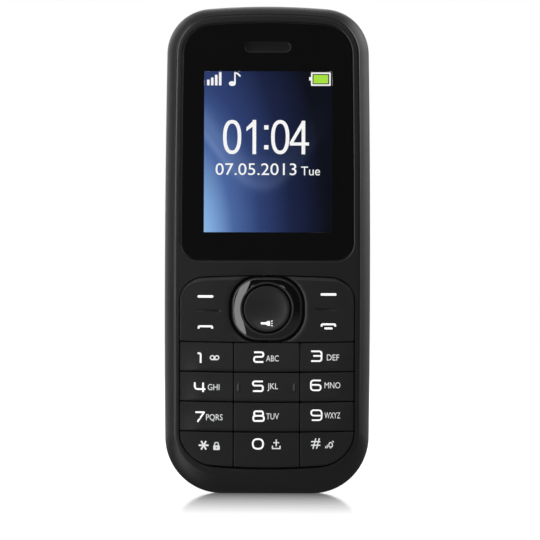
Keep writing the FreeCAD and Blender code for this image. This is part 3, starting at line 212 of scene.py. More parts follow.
class Shape:
    """Points and faces of one mesh, in millimetres."""

    def __init__(self, crown_start=CROWN_START):
        self.points = []
        self.faces = []
        self.crown_start = crown_start

    def loop(self, loop, level):
        """Adds a loop at a level, which is a number or a function of x and z."""
        first = len(self.points)
        for x, z in loop:
            self.points.append((x, level(x, z) if callable(level) else level, z))
        return list(range(first, len(self.points)))

    def bridge(self, first, second):
        for k in range(len(first)):
            self.faces.append((first[k - 1], first[k], second[k], second[k - 1]))

    def tube(self, loops):
        for a, b in zip(loops, loops[1:]):
            self.bridge(a, b)

    def sleeve(self, pairs, first=None):
        """Adds a loop for each (loop, level) pair and joins each to the one before."""
        rings = [self.loop(*pair) for pair in pairs]
        self.tube([first, *rings] if first else rings)
        return rings

    def plug(self, pairs):
        """A sleeve that is closed at both ends."""
        rings = self.sleeve(pairs)
        self.cap(rings[0])
        self.cap(rings[-1])

    def cap(self, outer, holes=(), extra=(), level=0.0):
        """Fills the space inside a loop of points and outside the holes; extra points refine it."""
        rings = [outer, *holes]
        indices = [k for ring in rings for k in ring]
        flat = [(self.points[k][0], self.points[k][2]) for k in indices]
        edges, start = [], 0
        for ring in rings:
            count = len(ring)
            edges += [(start + k, start + (k + 1) % count) for k in range(count)]
            start += count
        loops = [[(self.points[k][0], self.points[k][2]) for k in ring] for ring in rings]
        indices += self.loop(extra, level)
        flat += list(extra)
        result = geometry.delaunay_2d_cdt([Vector(p) for p in flat], edges, [], 0, 1e-7)
        places, faces, origins = result[0], result[2], result[3]
        made = [k for k, origin in enumerate(origins) if not origin]
        added = dict(zip(made, self.loop([tuple(places[k]) for k in made], level)))
        numbers = [indices[o[0]] if o else added[k] for k, o in enumerate(origins)]
        for face in faces:
            middle = sum((places[k] for k in face), Vector((0, 0))) / len(face)
            if inside(middle, loops[0]) and not any(inside(middle, hole) for hole in loops[1:]):
                self.faces.append([numbers[k] for k in face])

    def build(self, name, material, sharp=40):
        mesh = bpy.data.meshes.new(name)
        mesh.from_pydata([crowned(*point, self.crown_start) for point in self.points], [], self.faces)
        work = bmesh.new()
        work.from_mesh(mesh)
        loose = [v for v in work.verts if not v.link_faces]
        bmesh.ops.delete(work, geom=loose, context="VERTS")
        bmesh.ops.recalc_face_normals(work, faces=work.faces)
        work.to_mesh(mesh)
        work.free()
        mesh.shade_smooth()
        mesh.set_sharp_from_angle(angle=math.radians(sharp))
        piece = bpy.data.objects.new(name, mesh)
        scene.collection.objects.link(piece)
        mesh.materials.append(material)
        # Broad faces keep their own direction beside narrow rounded edges.
        weigh = piece.modifiers.new("weigh", "WEIGHTED_NORMAL")
        weigh.keep_sharp = True
        return piece


def settle(piece, body, slot, *nodes):
    """The piece moves with a body and stands for the named nodes; the slot is not used."""
    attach(piece, body)
    if nodes:
        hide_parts(*nodes)
    return piece


def rim_steps(radius, count=5):
    """(inset, drop) pairs round a quarter circle, from the side wall to the front."""
    turns = [QUARTER * k / count for k in range(count + 1)]
    return [(radius * (1 - math.cos(a)), radius * (1 - math.sin(a))) for a in turns]


def lowered(surface, drop):
    """A height function that lies a distance behind another."""
    return lambda x, z: surface(x, z) - drop


# Materials


def new_material(name):
    material = bpy.data.materials.new(name)
    material.use_nodes = True
    tree = material.node_tree
    return material, tree, tree.nodes["Principled BSDF"]


def feed(tree, socket, given):
    """Links another socket to this one, or writes a value to it."""
    if isinstance(given, bpy.types.NodeSocket):
        tree.links.new(given, socket)
    elif socket.type == "RGBA":
        socket.default_value = (*given, 1.0)
    else:
        socket.default_value = given


def set_inputs(tree, node, **inputs):
    """Feeds a node's inputs, which are named with _ for a space."""
    for key, given in inputs.items():
        feed(tree, node.inputs[key.replace("_", " ")], given)
    return node


def add_node(tree, kind, **inputs):
    return set_inputs(tree, tree.nodes.new(kind), **inputs)


def axes(tree, kind="Object"):
    """X, Y and Z of the object coordinates in metres, or of another kind."""
    source = tree.nodes.new("ShaderNodeTexCoord").outputs[kind]
    return add_node(tree, "ShaderNodeSeparateXYZ", Vector=source).outputs


def noise(tree, scale, detail=3.0, stretch=(1, 1, 1)):
    """Noise over the object coordinates in metres, stretched along each axis."""
    source = tree.nodes.new("ShaderNodeTexCoord").outputs["Object"]
    place = add_node(tree, "ShaderNodeMapping", Vector=source, Scale=stretch).outputs["Vector"]
    return add_node(tree, "ShaderNodeTexNoise", Vector=place, Scale=scale, Detail=detail).outputs["Fac"]


def spread(tree, source, low, high, low_in=0.0, high_in=1.0):
    """Maps a signal between two numbers to a range, and holds it at the range's ends."""
    limits = {"From_Min": low_in, "From_Max": high_in, "To_Min": low, "To_Max": high}
    return add_node(tree, "ShaderNodeMapRange", Value=source, **limits).outputs["Result"]


def calculate(tree, operation, first, second=0.0):
    made = tree.nodes.new("ShaderNodeMath")
    made.operation = operation
    for socket, given in zip(made.inputs, (first, second)):
        feed(tree, socket, given)
    return made.outputs["Value"]


def distance_of(tree, first, second):
    """The length of the vector that two signals make."""
    squares = [calculate(tree, "POWER", part, 2.0) for part in (first, second)]
    return calculate(tree, "SQRT", calculate(tree, "ADD", *squares))


def mix_color(tree, share, first, second):
    made = tree.nodes.new("ShaderNodeMix")
    made.data_type = "RGBA"
    factor, color_a, color_b = made.inputs[0], made.inputs[6], made.inputs[7]
    for socket, given in ((factor, share), (color_a, first), (color_b, second)):
        feed(tree, socket, given)
    return made.outputs[2]


def tinted(color, share):
    return tuple(c * share for c in color)


def bump(tree, shader, height, depth):
    """Raises the surface by a height signal; depth is in millimetres."""
    made = add_node(tree, "ShaderNodeBump", Height=height, Distance=depth * MM, Strength=1.0)
    tree.links.new(made.outputs["Normal"], shader.inputs["Normal"])


def plastic(name, color, roughness, grain, grain_scale, shade=0.12):
    """Moulded plastic: fine spark grain, slow colour drift and rubbed patches in its gloss."""
    material, tree, shader = new_material(name)
    drift = mix_color(tree, noise(tree, 90.0, 4.0), tinted(color, 1 - shade), tinted(color, 1 + shade))
    rubbed = spread(tree, noise(tree, 260.0, 5.0), roughness * 0.88, roughness * 1.12)
    set_inputs(tree, shader, Base_Color=drift, Roughness=rubbed)
    bump(tree, shader, noise(tree, grain_scale, 2.0), grain)
    return material


def gloss(name, color, roughness, specular=0.5):
    """Polished plastic or glass lacquer with faint flow marks."""
    material, tree, shader = new_material(name)
    drift = mix_color(tree, noise(tree, 60.0, 3.0), color, tinted(color, 1.3))
    hazy = spread(tree, noise(tree, 500.0, 4.0), roughness * 0.7, roughness * 1.3)
    set_inputs(tree, shader, Base_Color=drift, Roughness=hazy, Specular_IOR_Level=specular)
    bump(tree, shader, noise(tree, 120.0, 1.0), 0.0015)
    return material


def metal(name, color, roughness):
    """Rolled sheet metal with fine brushing along one axis."""
    material, tree, shader = new_material(name)
    brush = noise(tree, 1500.0, 4.0, (1, 1, 12))
    brushed = mix_color(tree, brush, tinted(color, 0.8), color)
    rough = spread(tree, brush, roughness * 0.8, roughness * 1.25)
    set_inputs(tree, shader, Base_Color=brushed, Roughness=rough, Metallic=1.0)
    bump(tree, shader, brush, 0.004)
    return material


def ink(name, color, glow):
    """Printed or backlit white: slightly uneven cover and a little light of its own."""
    material, tree, shader = new_material(name)
    cover = noise(tree, 2500.0, 3.0)
    mixed = mix_color(tree, cover, tinted(color, 0.93), color)
    rough = spread(tree, cover, 0.4, 0.55)
    set_inputs(tree, shader, Base_Color=mixed, Emission_Color=mixed, Emission_Strength=glow, Roughness=rough)
    return material


def clear_pane(name):
    """Clear acrylic with faint waviness."""
    material, tree, shader = new_material(name)
    wavy = spread(tree, noise(tree, 700.0, 3.0), 0.0, 0.03)
    set_inputs(tree, shader, Base_Color=(1, 1, 1), Transmission_Weight=1.0, IOR=1.49, Roughness=wavy)
    return material


# How much of its roughness the front has lost along the crease, where it is worn most
CREASE_POLISH = 0.5
# Levels and squared distances from the middle, in metres, between which the wear fades
WORN_BELOW = (6.09 * MM, 6.14 * MM)
WORN_ABOVE = (5.83 * MM, 5.93 * MM)
WORN_SIDES = ((13 * MM) ** 2, (17 * MM) ** 2)
WORN_HEIGHTS = (20 * MM, 90 * MM)


def rubbed_shell():
    """The front's moulded plastic, worn smooth along the crease round the face."""
    material = plastic("front_plastic", (0.0068, 0.0068, 0.007), 0.42, 0.012, 8000.0)
    tree = material.node_tree
    rough = tree.nodes["Principled BSDF"].inputs["Roughness"]
    grained = rough.links[0].from_socket
    parts = axes(tree)
    across = calculate(tree, "POWER", parts["X"], 2.0)
    # The crown's setback is added again, which gives the level as on a flat face.
    crown = calculate(tree, "MULTIPLY", across, CROWN_DROP * MM / (CROWN_REACH * MM) ** 2)
    level = calculate(tree, "SUBTRACT", crown, parts["Y"])
    # Hands and pockets rub the upper corners and sides most.
    rubbed = spread(tree, parts["Z"], 0.0, CREASE_POLISH, *WORN_HEIGHTS)
    masks = ((level, 1.0, 0.0, WORN_BELOW), (level, 0.0, 1.0, WORN_ABOVE), (across, 0.0, 1.0, WORN_SIDES))
    for source, low, high, limits in masks:
        rubbed = calculate(tree, "MULTIPLY", rubbed, spread(tree, source, low, high, *limits))
    share = calculate(tree, "SUBTRACT", 1.0, rubbed)
    tree.links.new(calculate(tree, "MULTIPLY", grained, share), rough)
    return material


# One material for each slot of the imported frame, but the screen's, which is made further down
MATERIALS = {
    "front_shell": rubbed_shell(),
    "back_shell": plastic("back_plastic", (0.009, 0.009, 0.0093), 0.46, 0.02, 6000.0),
    "chassis": plastic("chassis_plastic", (0.018, 0.018, 0.018), 0.6, 0.02, 5000.0),
    "window": gloss("window_black", (0.0035, 0.0035, 0.0037), 0.05),
    "gasket": plastic("gasket_foam", (0.02, 0.02, 0.02), 0.9, 0.05, 4000.0),
    "mesh": metal("mesh_steel", (0.055, 0.055, 0.057), 0.5),
    "black_plastic": plastic("black_plastic", (0.016, 0.016, 0.017), 0.5, 0.01, 7000.0),
    "white_plastic": plastic("white_plastic", (0.7, 0.7, 0.68), 0.5, 0.01, 7000.0, 0.04),
    "flex": plastic("flex_film", (0.35, 0.14, 0.02), 0.35, 0.004, 3000.0),
    "film": gloss("dome_film", (0.02, 0.02, 0.021), 0.35),
    "silicone": plastic("silicone", (0.015, 0.015, 0.0155), 0.7, 0.01, 4000.0),
    "board": plastic("solder_mask", (0.008, 0.05, 0.02), 0.35, 0.006, 3000.0, 0.3),
    "steel": metal("tinned_steel", (0.62, 0.62, 0.6), 0.32),
    "gold": metal("gold_plate", (0.83, 0.6, 0.25), 0.25),
    "lens": gloss("torch_lens", (0.6, 0.62, 0.6), 0.1),
    "led": plastic("led_phosphor", (0.8, 0.7, 0.2), 0.5, 0.01, 5000.0, 0.05),
    "weight": metal("tungsten", (0.35, 0.35, 0.36), 0.4),
    "battery": plastic("battery_wrap", (0.05, 0.055, 0.06), 0.45, 0.006, 2500.0),
    "ring": gloss("ring_gloss", (0.0025, 0.0025, 0.0028), 0.045, 0.7),
    "keys": plastic("key_plastic", (0.0106, 0.0106, 0.011), 0.42, 0.008, 9000.0),
}
WHITE_INK = ink("white_ink", (0.95, 0.95, 0.95), 0.35)
GREY_INK = ink("grey_ink", (0.72, 0.73, 0.74), 0.3)


def dress_frame():
    """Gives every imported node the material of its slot. The plate under the ring is blackened."""
    for name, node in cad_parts.items():
        slot = node.data.materials[0].name.split(".")[0]
        node.data.materials.clear()
        chosen = "mesh" if name == "nav_ring_carrier" else slot
        node.data.materials.append(MATERIALS.get(chosen) or screen_material)


# Front housing


def body_loop(inset=0.0):
    (_, right), _, (low, high) = span("battery_cover")
    return phone_loop(right, low, high, BODY_CORNERS, inset)


def face_loop(inset=0.0):
    (_, right), _, (low, high) = span("battery_cover")
    side, top, bottom = FACE_MARGINS.values()
    return phone_loop(right - side, low + bottom, high - top, FACE_CORNERS, inset)


def window_loop(inset=0.0):
    (_, right), _, (low, high) = span("display_window")
    lift = WINDOW_SPREAD / 2
    return phone_loop(right + WINDOW_SPREAD, low - lift, high - lift, WINDOW_CORNERS, inset)


# Curvature of the keypad's rows, per millimetre, at heights above the floor: the top edge
# arches, the rows smile slightly and the bottom edge smiles more.
BOW_HEIGHTS = ((5.2, 1 / 144), (13.0, 1 / 690), (33.0, 1 / 690), (47.2, -1 / 270))


def bow(x, z):
    """How far the keypad's lines rise at x from their height in the middle."""
    curvature = BOW_HEIGHTS[0][1] if z < BOW_HEIGHTS[0][0] else BOW_HEIGHTS[-1][1]
    for (low, first), (high, second) in zip(BOW_HEIGHTS, BOW_HEIGHTS[1:]):
        if low <= z <= high:
            curvature = first + (second - first) * (z - low) / (high - low)
    return curvature * x * x / 2


def bowed(loop):
    return [(x, z + bow(x, z)) for x, z in loop]


def keypad_loop():
    x_range, z_range = key_field()
    top, bottom = KEYPAD_CORNERS
    return bowed(rounded_box(x_range, z_range, (bottom, top, top, bottom), 1.0, 16))


def key_field():
    """The keypad opening: the key caps' space and the gap round it."""
    (left, _), _, (low, _) = span("key_star")
    _, _, (_, high) = span("function_key_left")
    return (left - KEYPAD_GAP, KEYPAD_GAP - left), (low - KEYPAD_GAP, high + KEYPAD_GAP)


# The rim band's tilt in degrees where it leaves the upright side and where it meets the crease
BAND_TILTS = (67.0, 36.0)
BAND_STEPS = 16
# (inset from the face outline, level from the face): a small roll up, then a slow one to the flat.
# It ends before the rims of the window and the keypad opening begin.
CREASE = (
    (0.0, -0.278), (0.03, -0.23), (0.07, -0.193), (0.13, -0.153), (0.22, -0.107), (0.31, -0.069),
    (0.4, -0.042), (0.48, -0.024), (0.56, -0.01), (0.64, -0.002), (0.7, 0.0),
)
WINDOW_SINK = 0.14
# (distance out from the window's well, level from the face)
WINDOW_ROLL = (
    (0.6, 0.0), (0.42, 0.0), (0.3, -0.012), (0.2, -0.035), (0.12, -0.07), (0.06, -0.115), (0.0, -0.19),
)
WINDOW_CLEARANCE = 0.05
WINDOW_LEDGE = 2.2
KEYPAD_RIM = {"round": 0.16, "flat": 0.35}
PARTING_ROUND = 0.12
# The shell's wall leans in from a depth behind the face to its roof.
WALL_LEAN = {"depth": 3.2, "width": 1.4}


# The crease's share at the chin, and the heights between which it grows to the whole
CHIN_SHARE = 0.25
CHIN_HEIGHTS = (6.0, 24.0)


def crease_share(z):
    """The crease is full along the sides and top and dies out round the chin."""
    return CHIN_SHARE + (1 - CHIN_SHARE) * smooth_step(*CHIN_HEIGHTS, z)


def band_profile():
    """(share, level) of the rim band from the body outline in to the face outline, which is level 0."""
    reach, steep, shallow = FACE_MARGINS["side"], *BAND_TILTS
    shares = [k / BAND_STEPS for k in range(BAND_STEPS + 1)]
    profile, level = [(1.0, 0.0)], 0.0
    for after, share in zip(shares[::-1], shares[-2::-1]):
        tilt = shallow + (steep - shallow) * (1 - (after + share) / 2) ** 2
        level -= (after - share) * reach * math.tan(math.radians(tilt))
        profile.append((share, level))
    return profile[::-1]


def make_front_housing():
    _, (parting, face), _ = span("front_housing")
    _, (window_back, _), _ = span("window_gasket")
    roof = face - ROOF_DROP
    outer, inner = body_loop(), face_loop()
    shape = Shape(parting)
    band = [(outer, parting + PARTING_ROUND)]
    for share, drop in band_profile():
        ring = [(a[0] + (b[0] - a[0]) * share, a[1] + (b[1] - a[1]) * share) for a, b in zip(outer, inner)]
        band.append((ring, lambda x, z, drop=drop: face + CREASE[0][1] * crease_share(z) + drop))
    for inset, drop in CREASE[1:]:
        band.append((face_loop(inset), lambda x, z, drop=drop: face + drop * crease_share(z)))
    rings = shape.sleeve(band)
    wall, roof_edge = body_loop(WALL), body_loop(WALL + WALL_LEAN["width"])
    back = [(body_loop(PARTING_ROUND), parting), (wall, parting), (wall, face - WALL_LEAN["depth"])]
    back_rings = shape.sleeve([*back, (roof_edge, roof)], rings[0])
    window, keypad = window_loop(-WINDOW_CLEARANCE), keypad_loop()
    well = [(shifted(window, -inset), face + drop) for inset, drop in WINDOW_ROLL]
    ledge = shifted(window, WINDOW_LEDGE)
    window_rings = shape.sleeve([*well, (window, window_back), (ledge, window_back), (ledge, roof)])
    rim, flat = KEYPAD_RIM.values()
    well = [(shifted(keypad, -flat), face)]
    well += [(shifted(keypad, inset - rim), face - drop) for inset, drop in reversed(rim_steps(rim))]
    keypad_rings = shape.sleeve([*well, (keypad, roof)])
    shape.cap(rings[-1], (window_rings[0], keypad_rings[0]))
    shape.cap(back_rings[-1], (window_rings[-1], keypad_rings[-1]))
    settle(shape.build("front_cover", MATERIALS["front_shell"], 50), "root", "front_shell", "front_housing")


# Window and screen


def screen_loop(inset=0.0):
    x_range = (SCREEN_SHIFT - SCREEN_HALF_WIDTH + inset, SCREEN_SHIFT + SCREEN_HALF_WIDTH - inset)
    z_range = (SCREEN_LOW + inset, SCREEN_HIGH - inset)
    return rounded_box(x_range, z_range, (0.12,) * 4, 2.0, 3)


WINDOW_RIM = {"round": 0.1, "flat": 0.3}
# (inset from the slot's outline, drop from the plate's front)
SLOT_RIM = ((-0.3, 0.0), (-0.06, 0.0), (0.0, 0.008), (0.05, 0.027), (0.09, 0.055), (0.12, 0.09), (0.14, 0.14))
SLOT_HALF_WIDTH = 5.0
SLOT_HALF_HEIGHT = 1.125
# (inset from the screen opening, drop from the plate's front) up the side of the clear pane
PANE_RIM = ((0.01, 0.3), (0.01, 0.02), (0.03, 0.0))
# The same from the panel's front: down into its frame, and up the side of its lit face
RECESS_RIM = ((-0.35, 0.0), (-0.3, 0.06))
PICTURE_RIM = ((-0.2, 0.055), (-0.2, 0.02))
PANEL_ROUND = 0.1
PANEL_CORNER = 0.3


def slot_loop(inset=0.0):
    """The earpiece slot, a stadium."""
    _, _, (low, high) = span("earpiece_mesh")
    middle, half_height, half_width = (low + high) / 2, SLOT_HALF_HEIGHT - inset, SLOT_HALF_WIDTH - inset
    x_range, z_range = (-half_width, half_width), (middle - half_height, middle + half_height)
    return rounded_box(x_range, z_range, (half_height - 0.001,) * 4, 0.7, 10)


def make_window():
    """The black plate with its slot, and the clear pane let into it over the screen."""
    _, (back, front), _ = span("display_window")
    front -= WINDOW_SINK
    shape = Shape()
    rim = [(window_loop(inset), front - drop) for inset, drop in rim_steps(WINDOW_RIM["round"], 3)]
    outer = shape.sleeve([(window_loop(), back), *rim, (window_loop(WINDOW_RIM["flat"]), front)])
    slot = [(slot_loop(inset), front - drop) for inset, drop in SLOT_RIM]
    slot = shape.sleeve([*slot, (slot_loop(SLOT_RIM[-1][0]), back)])
    opening = shape.sleeve([(screen_loop(), front), (screen_loop(), back)])
    shape.cap(outer[-1], (slot[0], opening[0]))
    shape.cap(outer[0], (slot[-1], opening[-1]))
    settle(shape.build("window_plate", MATERIALS["window"], 35), "root", "window", "display_window")
    pane = Shape()
    pane.plug([(screen_loop(inset), front - drop) for inset, drop in PANE_RIM])
    settle(pane.build("window_pane", clear_pane("pane_clear")), "root", "window")


# (place on the ramp, colour), from the glow to the far side
WALLPAPER = (
    (0.0, (0.46, 0.76, 0.98)),
    (0.2, (0.23, 0.43, 0.76)),
    (0.35, (0.075, 0.145, 0.38)),
    (0.54, (0.027, 0.052, 0.175)),
    (0.75, (0.009, 0.0155, 0.058)),
    (1.0, (0.0017, 0.0025, 0.008)),
)
# For each axis, how far beyond the screen's corner the glow sits, and how much that axis counts
GLOW_X, GLOW_Z = (0.15, 0.9), (0.1, 0.5)
# (height, width) of the soft ribbons, as shares of the screen's height, and how they swing
RIBBONS = ((0.62, 0.035), (0.7, 0.09))
RIBBON_SWING = {"turn": 3.4, "height": 0.33}
RIBBON_STRENGTH = 0.2


def make_screen_material():
    """The wallpaper: a blue field, pale at the lower left and night blue at the right, with soft waves."""
    material, tree, shader = new_material("screen_picture")
    parts = axes(tree)
    across = spread(tree, parts["X"], 0.0, 1.0, -SCREEN_HALF_WIDTH * MM, SCREEN_HALF_WIDTH * MM)
    upward = spread(tree, parts["Z"], 0.0, 1.0, SCREEN_LOW * MM, SCREEN_HIGH * MM)
    # Distance from a glow that sits beyond the lower left corner
    far = []
    for source, (beyond, weight) in ((across, GLOW_X), (upward, GLOW_Z)):
        far.append(calculate(tree, "MULTIPLY", calculate(tree, "ADD", source, beyond), weight))
    ramp = add_node(tree, "ShaderNodeValToRGB", Fac=distance_of(tree, *far))
    elements = ramp.color_ramp.elements
    elements.remove(elements[1])
    elements[0].color = (*WALLPAPER[0][1], 1)
    for position, color in WALLPAPER[1:]:
        elements.new(position).color = (*color, 1)
    # Two soft ribbons cross the field from the upper left to the lower right.
    bent = calculate(tree, "SINE", calculate(tree, "MULTIPLY", across, RIBBON_SWING["turn"]))
    swing = calculate(tree, "MULTIPLY", bent, RIBBON_SWING["height"])
    glows = []
    for rise, width in RIBBONS:
        height = calculate(tree, "SUBTRACT", rise, swing)
        off = calculate(tree, "DIVIDE", calculate(tree, "SUBTRACT", upward, height), width)
        squared = calculate(tree, "POWER", off, 2.0)
        glows.append(calculate(tree, "POWER", 2.718, calculate(tree, "MULTIPLY", squared, -1.0)))
    fading = calculate(tree, "POWER", calculate(tree, "SUBTRACT", 1.0, across), 1.6)
    ribbons = calculate(tree, "MULTIPLY", calculate(tree, "ADD", *glows), RIBBON_STRENGTH)
    faint = calculate(tree, "MULTIPLY", ribbons, fading)
    picture = mix_color(tree, faint, ramp.outputs["Color"], (0.3, 0.45, 0.8))
    set_inputs(tree, shader, Emission_Color=picture, Emission_Strength=1.0, Base_Color=(0.002, 0.002, 0.0025))
    set_inputs(tree, shader, Specular_IOR_Level=0.1, Roughness=0.35)
    return material


screen_material = make_screen_material()


def make_screen():
    """The panel's frame, and its lit face a little below the frame's front."""
    x_range, (back, front), z_range = span("lcd_panel")
    shape = Shape()
    outline = rounded_box(x_range, z_range, (PANEL_CORNER,) * 4, 2.0, 4)
    edge = [(outline, front - PANEL_ROUND), (shifted(outline, PANEL_ROUND), front)]
    rings = shape.sleeve([(outline, back), *edge])
    recess = shape.sleeve([(screen_loop(inset), front - drop) for inset, drop in RECESS_RIM])
    shape.cap(rings[0])
    shape.cap(rings[-1], (recess[0],))
    shape.cap(recess[-1])
    settle(shape.build("screen_panel", MATERIALS["black_plastic"], 35), "root", "screen", "lcd_panel")
    face = Shape()
    rings = face.sleeve([(screen_loop(inset), front - drop) for inset, drop in PICTURE_RIM])
    x_steps, z_steps = steps(-SCREEN_HALF_WIDTH, SCREEN_HALF_WIDTH, 2.0), steps(SCREEN_LOW, SCREEN_HIGH, 2.0)
    grid = [(x, z) for x in x_steps for z in z_steps if inside((x, z), screen_loop())]
    face.cap(rings[0])
    face.cap(rings[1], extra=grid, level=front - PICTURE_RIM[1][1])
    settle(face.build("screen_picture", screen_material), "root", "screen")


# Print: strokes, shapes and letters laid on a surface


def toward(point, goal, reach):
    """The place at a distance from a point on the way to a goal."""
    return [point[i] + (goal[i] - point[i]) * reach / math.dist(goal, point) for i in (0, 1)]


def rounded_path(points, radius, closed=False):
    """A polyline with its corners turned to arcs."""
    path = []
    count = len(points)
    for k, point in enumerate(points):
        if not closed and k in (0, count - 1):
            path.append(point)
            continue
        before, after = points[k - 1], points[(k + 1) % count]
        reach = min(radius, math.dist(before, point) / 2, math.dist(after, point) / 2)
        pulls = (toward(point, before, reach), point, toward(point, after, reach))
        for t in (j / 6 for j in range(7)):
            weights = ((1 - t) ** 2, 2 * t * (1 - t), t * t)
            path.append(tuple(sum(w * pull[i] for w, pull in zip(weights, pulls)) for i in (0, 1)))
    path = [p for k, p in enumerate(path) if k == 0 or math.dist(p, path[k - 1]) > 1e-4]
    return path[:-1] if closed and math.dist(path[0], path[-1]) < 1e-4 else path


def stroke(path, width, closed=False):
    """Outlines of a pen stroke along a path: one loop, or an outer and an inner one."""
    sides = ([], [])
    count = len(path)
    for k, (x, z) in enumerate(path):
        before = path[k - 1] if closed or k > 0 else path[k]
        after = path[(k + 1) % count] if closed or k < count - 1 else path[k]
        ax, az, bx, bz = x - before[0], z - before[1], after[0] - x, after[1] - z
        a, b = math.hypot(ax, az) or 1.0, math.hypot(bx, bz) or 1.0
        nx, nz = -(az / a + bz / b), ax / a + bx / b
        size = math.hypot(nx, nz) or 1.0
        stretch = min(2 / size, 1.5) / size if k not in (0, count - 1) or closed else 1 / size
        for side, sign in zip(sides, (1, -1)):
            side.append((x + sign * nx * stretch * width / 2, z + sign * nz * stretch * width / 2))
    return list(sides) if closed else [sides[1] + sides[0][::-1]]


# The height of a capital letter in Blender's own typeface, at size 1
CAPITAL_HEIGHT = 0.682


class Print:
    """Flat filled outlines in millimetres, laid on a surface as thin raised ink."""

    def __init__(self):
        self.solids = []
        self.letters = []

    def pen(self, points, width, radius=0.0, closed=False):
        path = rounded_path(points, radius, closed) if radius else points
        self.solids.append(stroke(path, width, closed))

    def fill(self, *loops):
        """An outline, and any holes in it."""
        self.solids.append(loops)

    def block(self, *boxes, corner=0.1, turns=3):
        """A rounded rectangle from its x and z ranges, and any holes in it."""
        self.fill(*(rounded_box(*box, (corner,) * 4, 1.0, turns) for box in boxes))

    def text(self, words, left, low, height, squeeze=1.0):
        """Plain letters from Blender's own typeface, standing on a base line."""
        curve = bpy.data.curves.new("letters", "FONT")
        curve.body = words
        curve.size = 1.0
        curve.resolution_u = 4
        holder = bpy.data.objects.new("letters", curve)
        scene.collection.objects.link(holder)
        bpy.context.view_layer.update()
        mesh = bpy.data.meshes.new_from_object(holder)
        scale = height / CAPITAL_HEIGHT
        points = [(left + v.co.x * scale * squeeze, low + v.co.y * scale) for v in mesh.vertices]
        self.letters.append((points, [list(p.vertices) for p in mesh.polygons]))
        bpy.data.objects.remove(holder)
        bpy.data.curves.remove(curve)
        bpy.data.meshes.remove(mesh)

    def build(self, name, material, surface, proud=INK_PROUD, depth=INK_DEPTH):
        flat_points, faces = [], []
        if self.solids:
            points, edges = [], []
            for loop in (loop for loops in self.solids for loop in loops):
                start = len(points)
                points += loop
                edges += [(start + k, start + (k + 1) % len(loop)) for k in range(len(loop))]
            result = geometry.delaunay_2d_cdt([Vector(p) for p in points], edges, [], 0, 1e-6)
            flat_points = [tuple(p) for p in result[0]]
            for face in result[2]:
                middle = tuple(sum(flat_points[k][i] for k in face) / len(face) for i in (0, 1))
                if any(sum(inside(middle, loop) for loop in loops) % 2 for loops in self.solids):
                    faces.append(list(face))
        for points, letter_faces in self.letters:
            start = len(flat_points)
            flat_points += points
            faces += [[start + k for k in face] for face in letter_faces]
        shape = Shape()
        front, back = (shape.loop(flat_points, lowered(surface, drop)) for drop in (-proud, depth))
        borders = {}
        for face in faces:
            for k in range(len(face)):
                edge = (face[k - 1], face[k])
                borders[frozenset(edge)] = None if frozenset(edge) in borders else edge
            shape.faces.append([front[k] for k in face])
            shape.faces.append([back[k] for k in reversed(face)])
        for a, b in filter(None, borders.values()):
            shape.faces.append((front[b], front[a], back[a], back[b]))
        return shape.build(name, material, 30)


# Keys

KEY_BACK = 4.3
KEY_UPPER_LEVEL = 5.82
KEY_PEAK_DROP = 0.15
KEY_FLAT_END = 4.6
STEM_RADIUS = 1.3
STEM_OVERLAP = 0.05
GRID_PITCH = 0.5
KEYPAD_SIDE = 18.82
KEY_CORNER = 0.3
KEY_RIM = 0.1
# A key's lower lip: its width and fall at the keypad's side, and how much more they are in the middle
KEY_LIP = {"width": (0.16, 0.5), "fall": (0.05, 0.45)}
# Heights above a key's lower edge of the rows of points that follow its lip
LIP_ROWS = (0.06, 0.13, 0.2, 0.28, 0.37, 0.48, 0.6, 0.75)
HOMING_BARS = {"reach": 6.05, "height": 22.95, "half_length": 0.95, "half_width": 0.22, "proud": 0.15}
# The keys that fill the keypad's lower corners, and which of their own corners does
CORNER_KEYS = {"key_hash": 0, "key_star": 3}


def key_names():
    return ["key_%d" % k for k in range(1, 10)] + ["key_star", "key_0", "key_hash"]


def key_surface(name):
    """A key's front: it rises to a lip at its lower edge, and both die out at the keypad's side."""
    _, (_, peak), (low, high) = span(name)
    peak -= KEY_PEAK_DROP

    def front(x, z):
        flat_z = z - bow(x, z)
        taper = smooth_step(0.0, KEY_FLAT_END, KEYPAD_SIDE - abs(x))
        drop_share = min(max((high - flat_z) / (high - low), 0.0), 1.0)
        level = KEY_UPPER_LEVEL + (peak - KEY_UPPER_LEVEL) * taper * drop_share
        lip, fall = (least + more * taper for least, more in KEY_LIP.values())
        if flat_z - low < lip:
            short = 1 - max(flat_z - low, 0.0) / lip
            level -= fall * (1 - math.sqrt(max(1 - short * short, 0.0)))
        if name == "key_5":
            level += homing_bar(x, flat_z)
        return level

    return front


def homing_bar(x, z):
    bar = HOMING_BARS
    across = (abs(x) - bar["reach"]) / bar["half_width"]
    along = smooth_step(bar["half_length"], bar["half_length"] - 0.3, abs(z - bar["height"]))
    return bar["proud"] * math.exp(-across * across) * along


def key_outline(name):
    x_range, _, z_range = span(name)
    radii, turns = [KEY_CORNER] * 4, 6
    if name in CORNER_KEYS:
        radii[CORNER_KEYS[name]] = KEYPAD_CORNERS[1] - KEYPAD_GAP
        turns = 14
    return bowed(rounded_box(x_range, z_range, radii, 0.5, turns))


def key_grid(name):
    """Points across a key's front, dense near its lower lip and round the homing bars."""
    (left, right), _, (low, high) = span(name)
    z_steps = [low + d for d in LIP_ROWS] + steps(low + 0.9, high, GRID_PITCH)
    points = [(x, z) for x in steps(left, right, GRID_PITCH) for z in z_steps]
    if name == "key_5":
        reach = HOMING_BARS["reach"]
        points = [p for p in points if not reach - 0.5 < abs(p[0]) < reach + 0.5]
        fine_x = [reach + d for d in both_ways(0.07, 0.14, 0.22, 0.32, 0.45)]
        points += [(s * x, z) for s in (-1, 1) for x in fine_x for z in z_steps]
    return bowed(points)


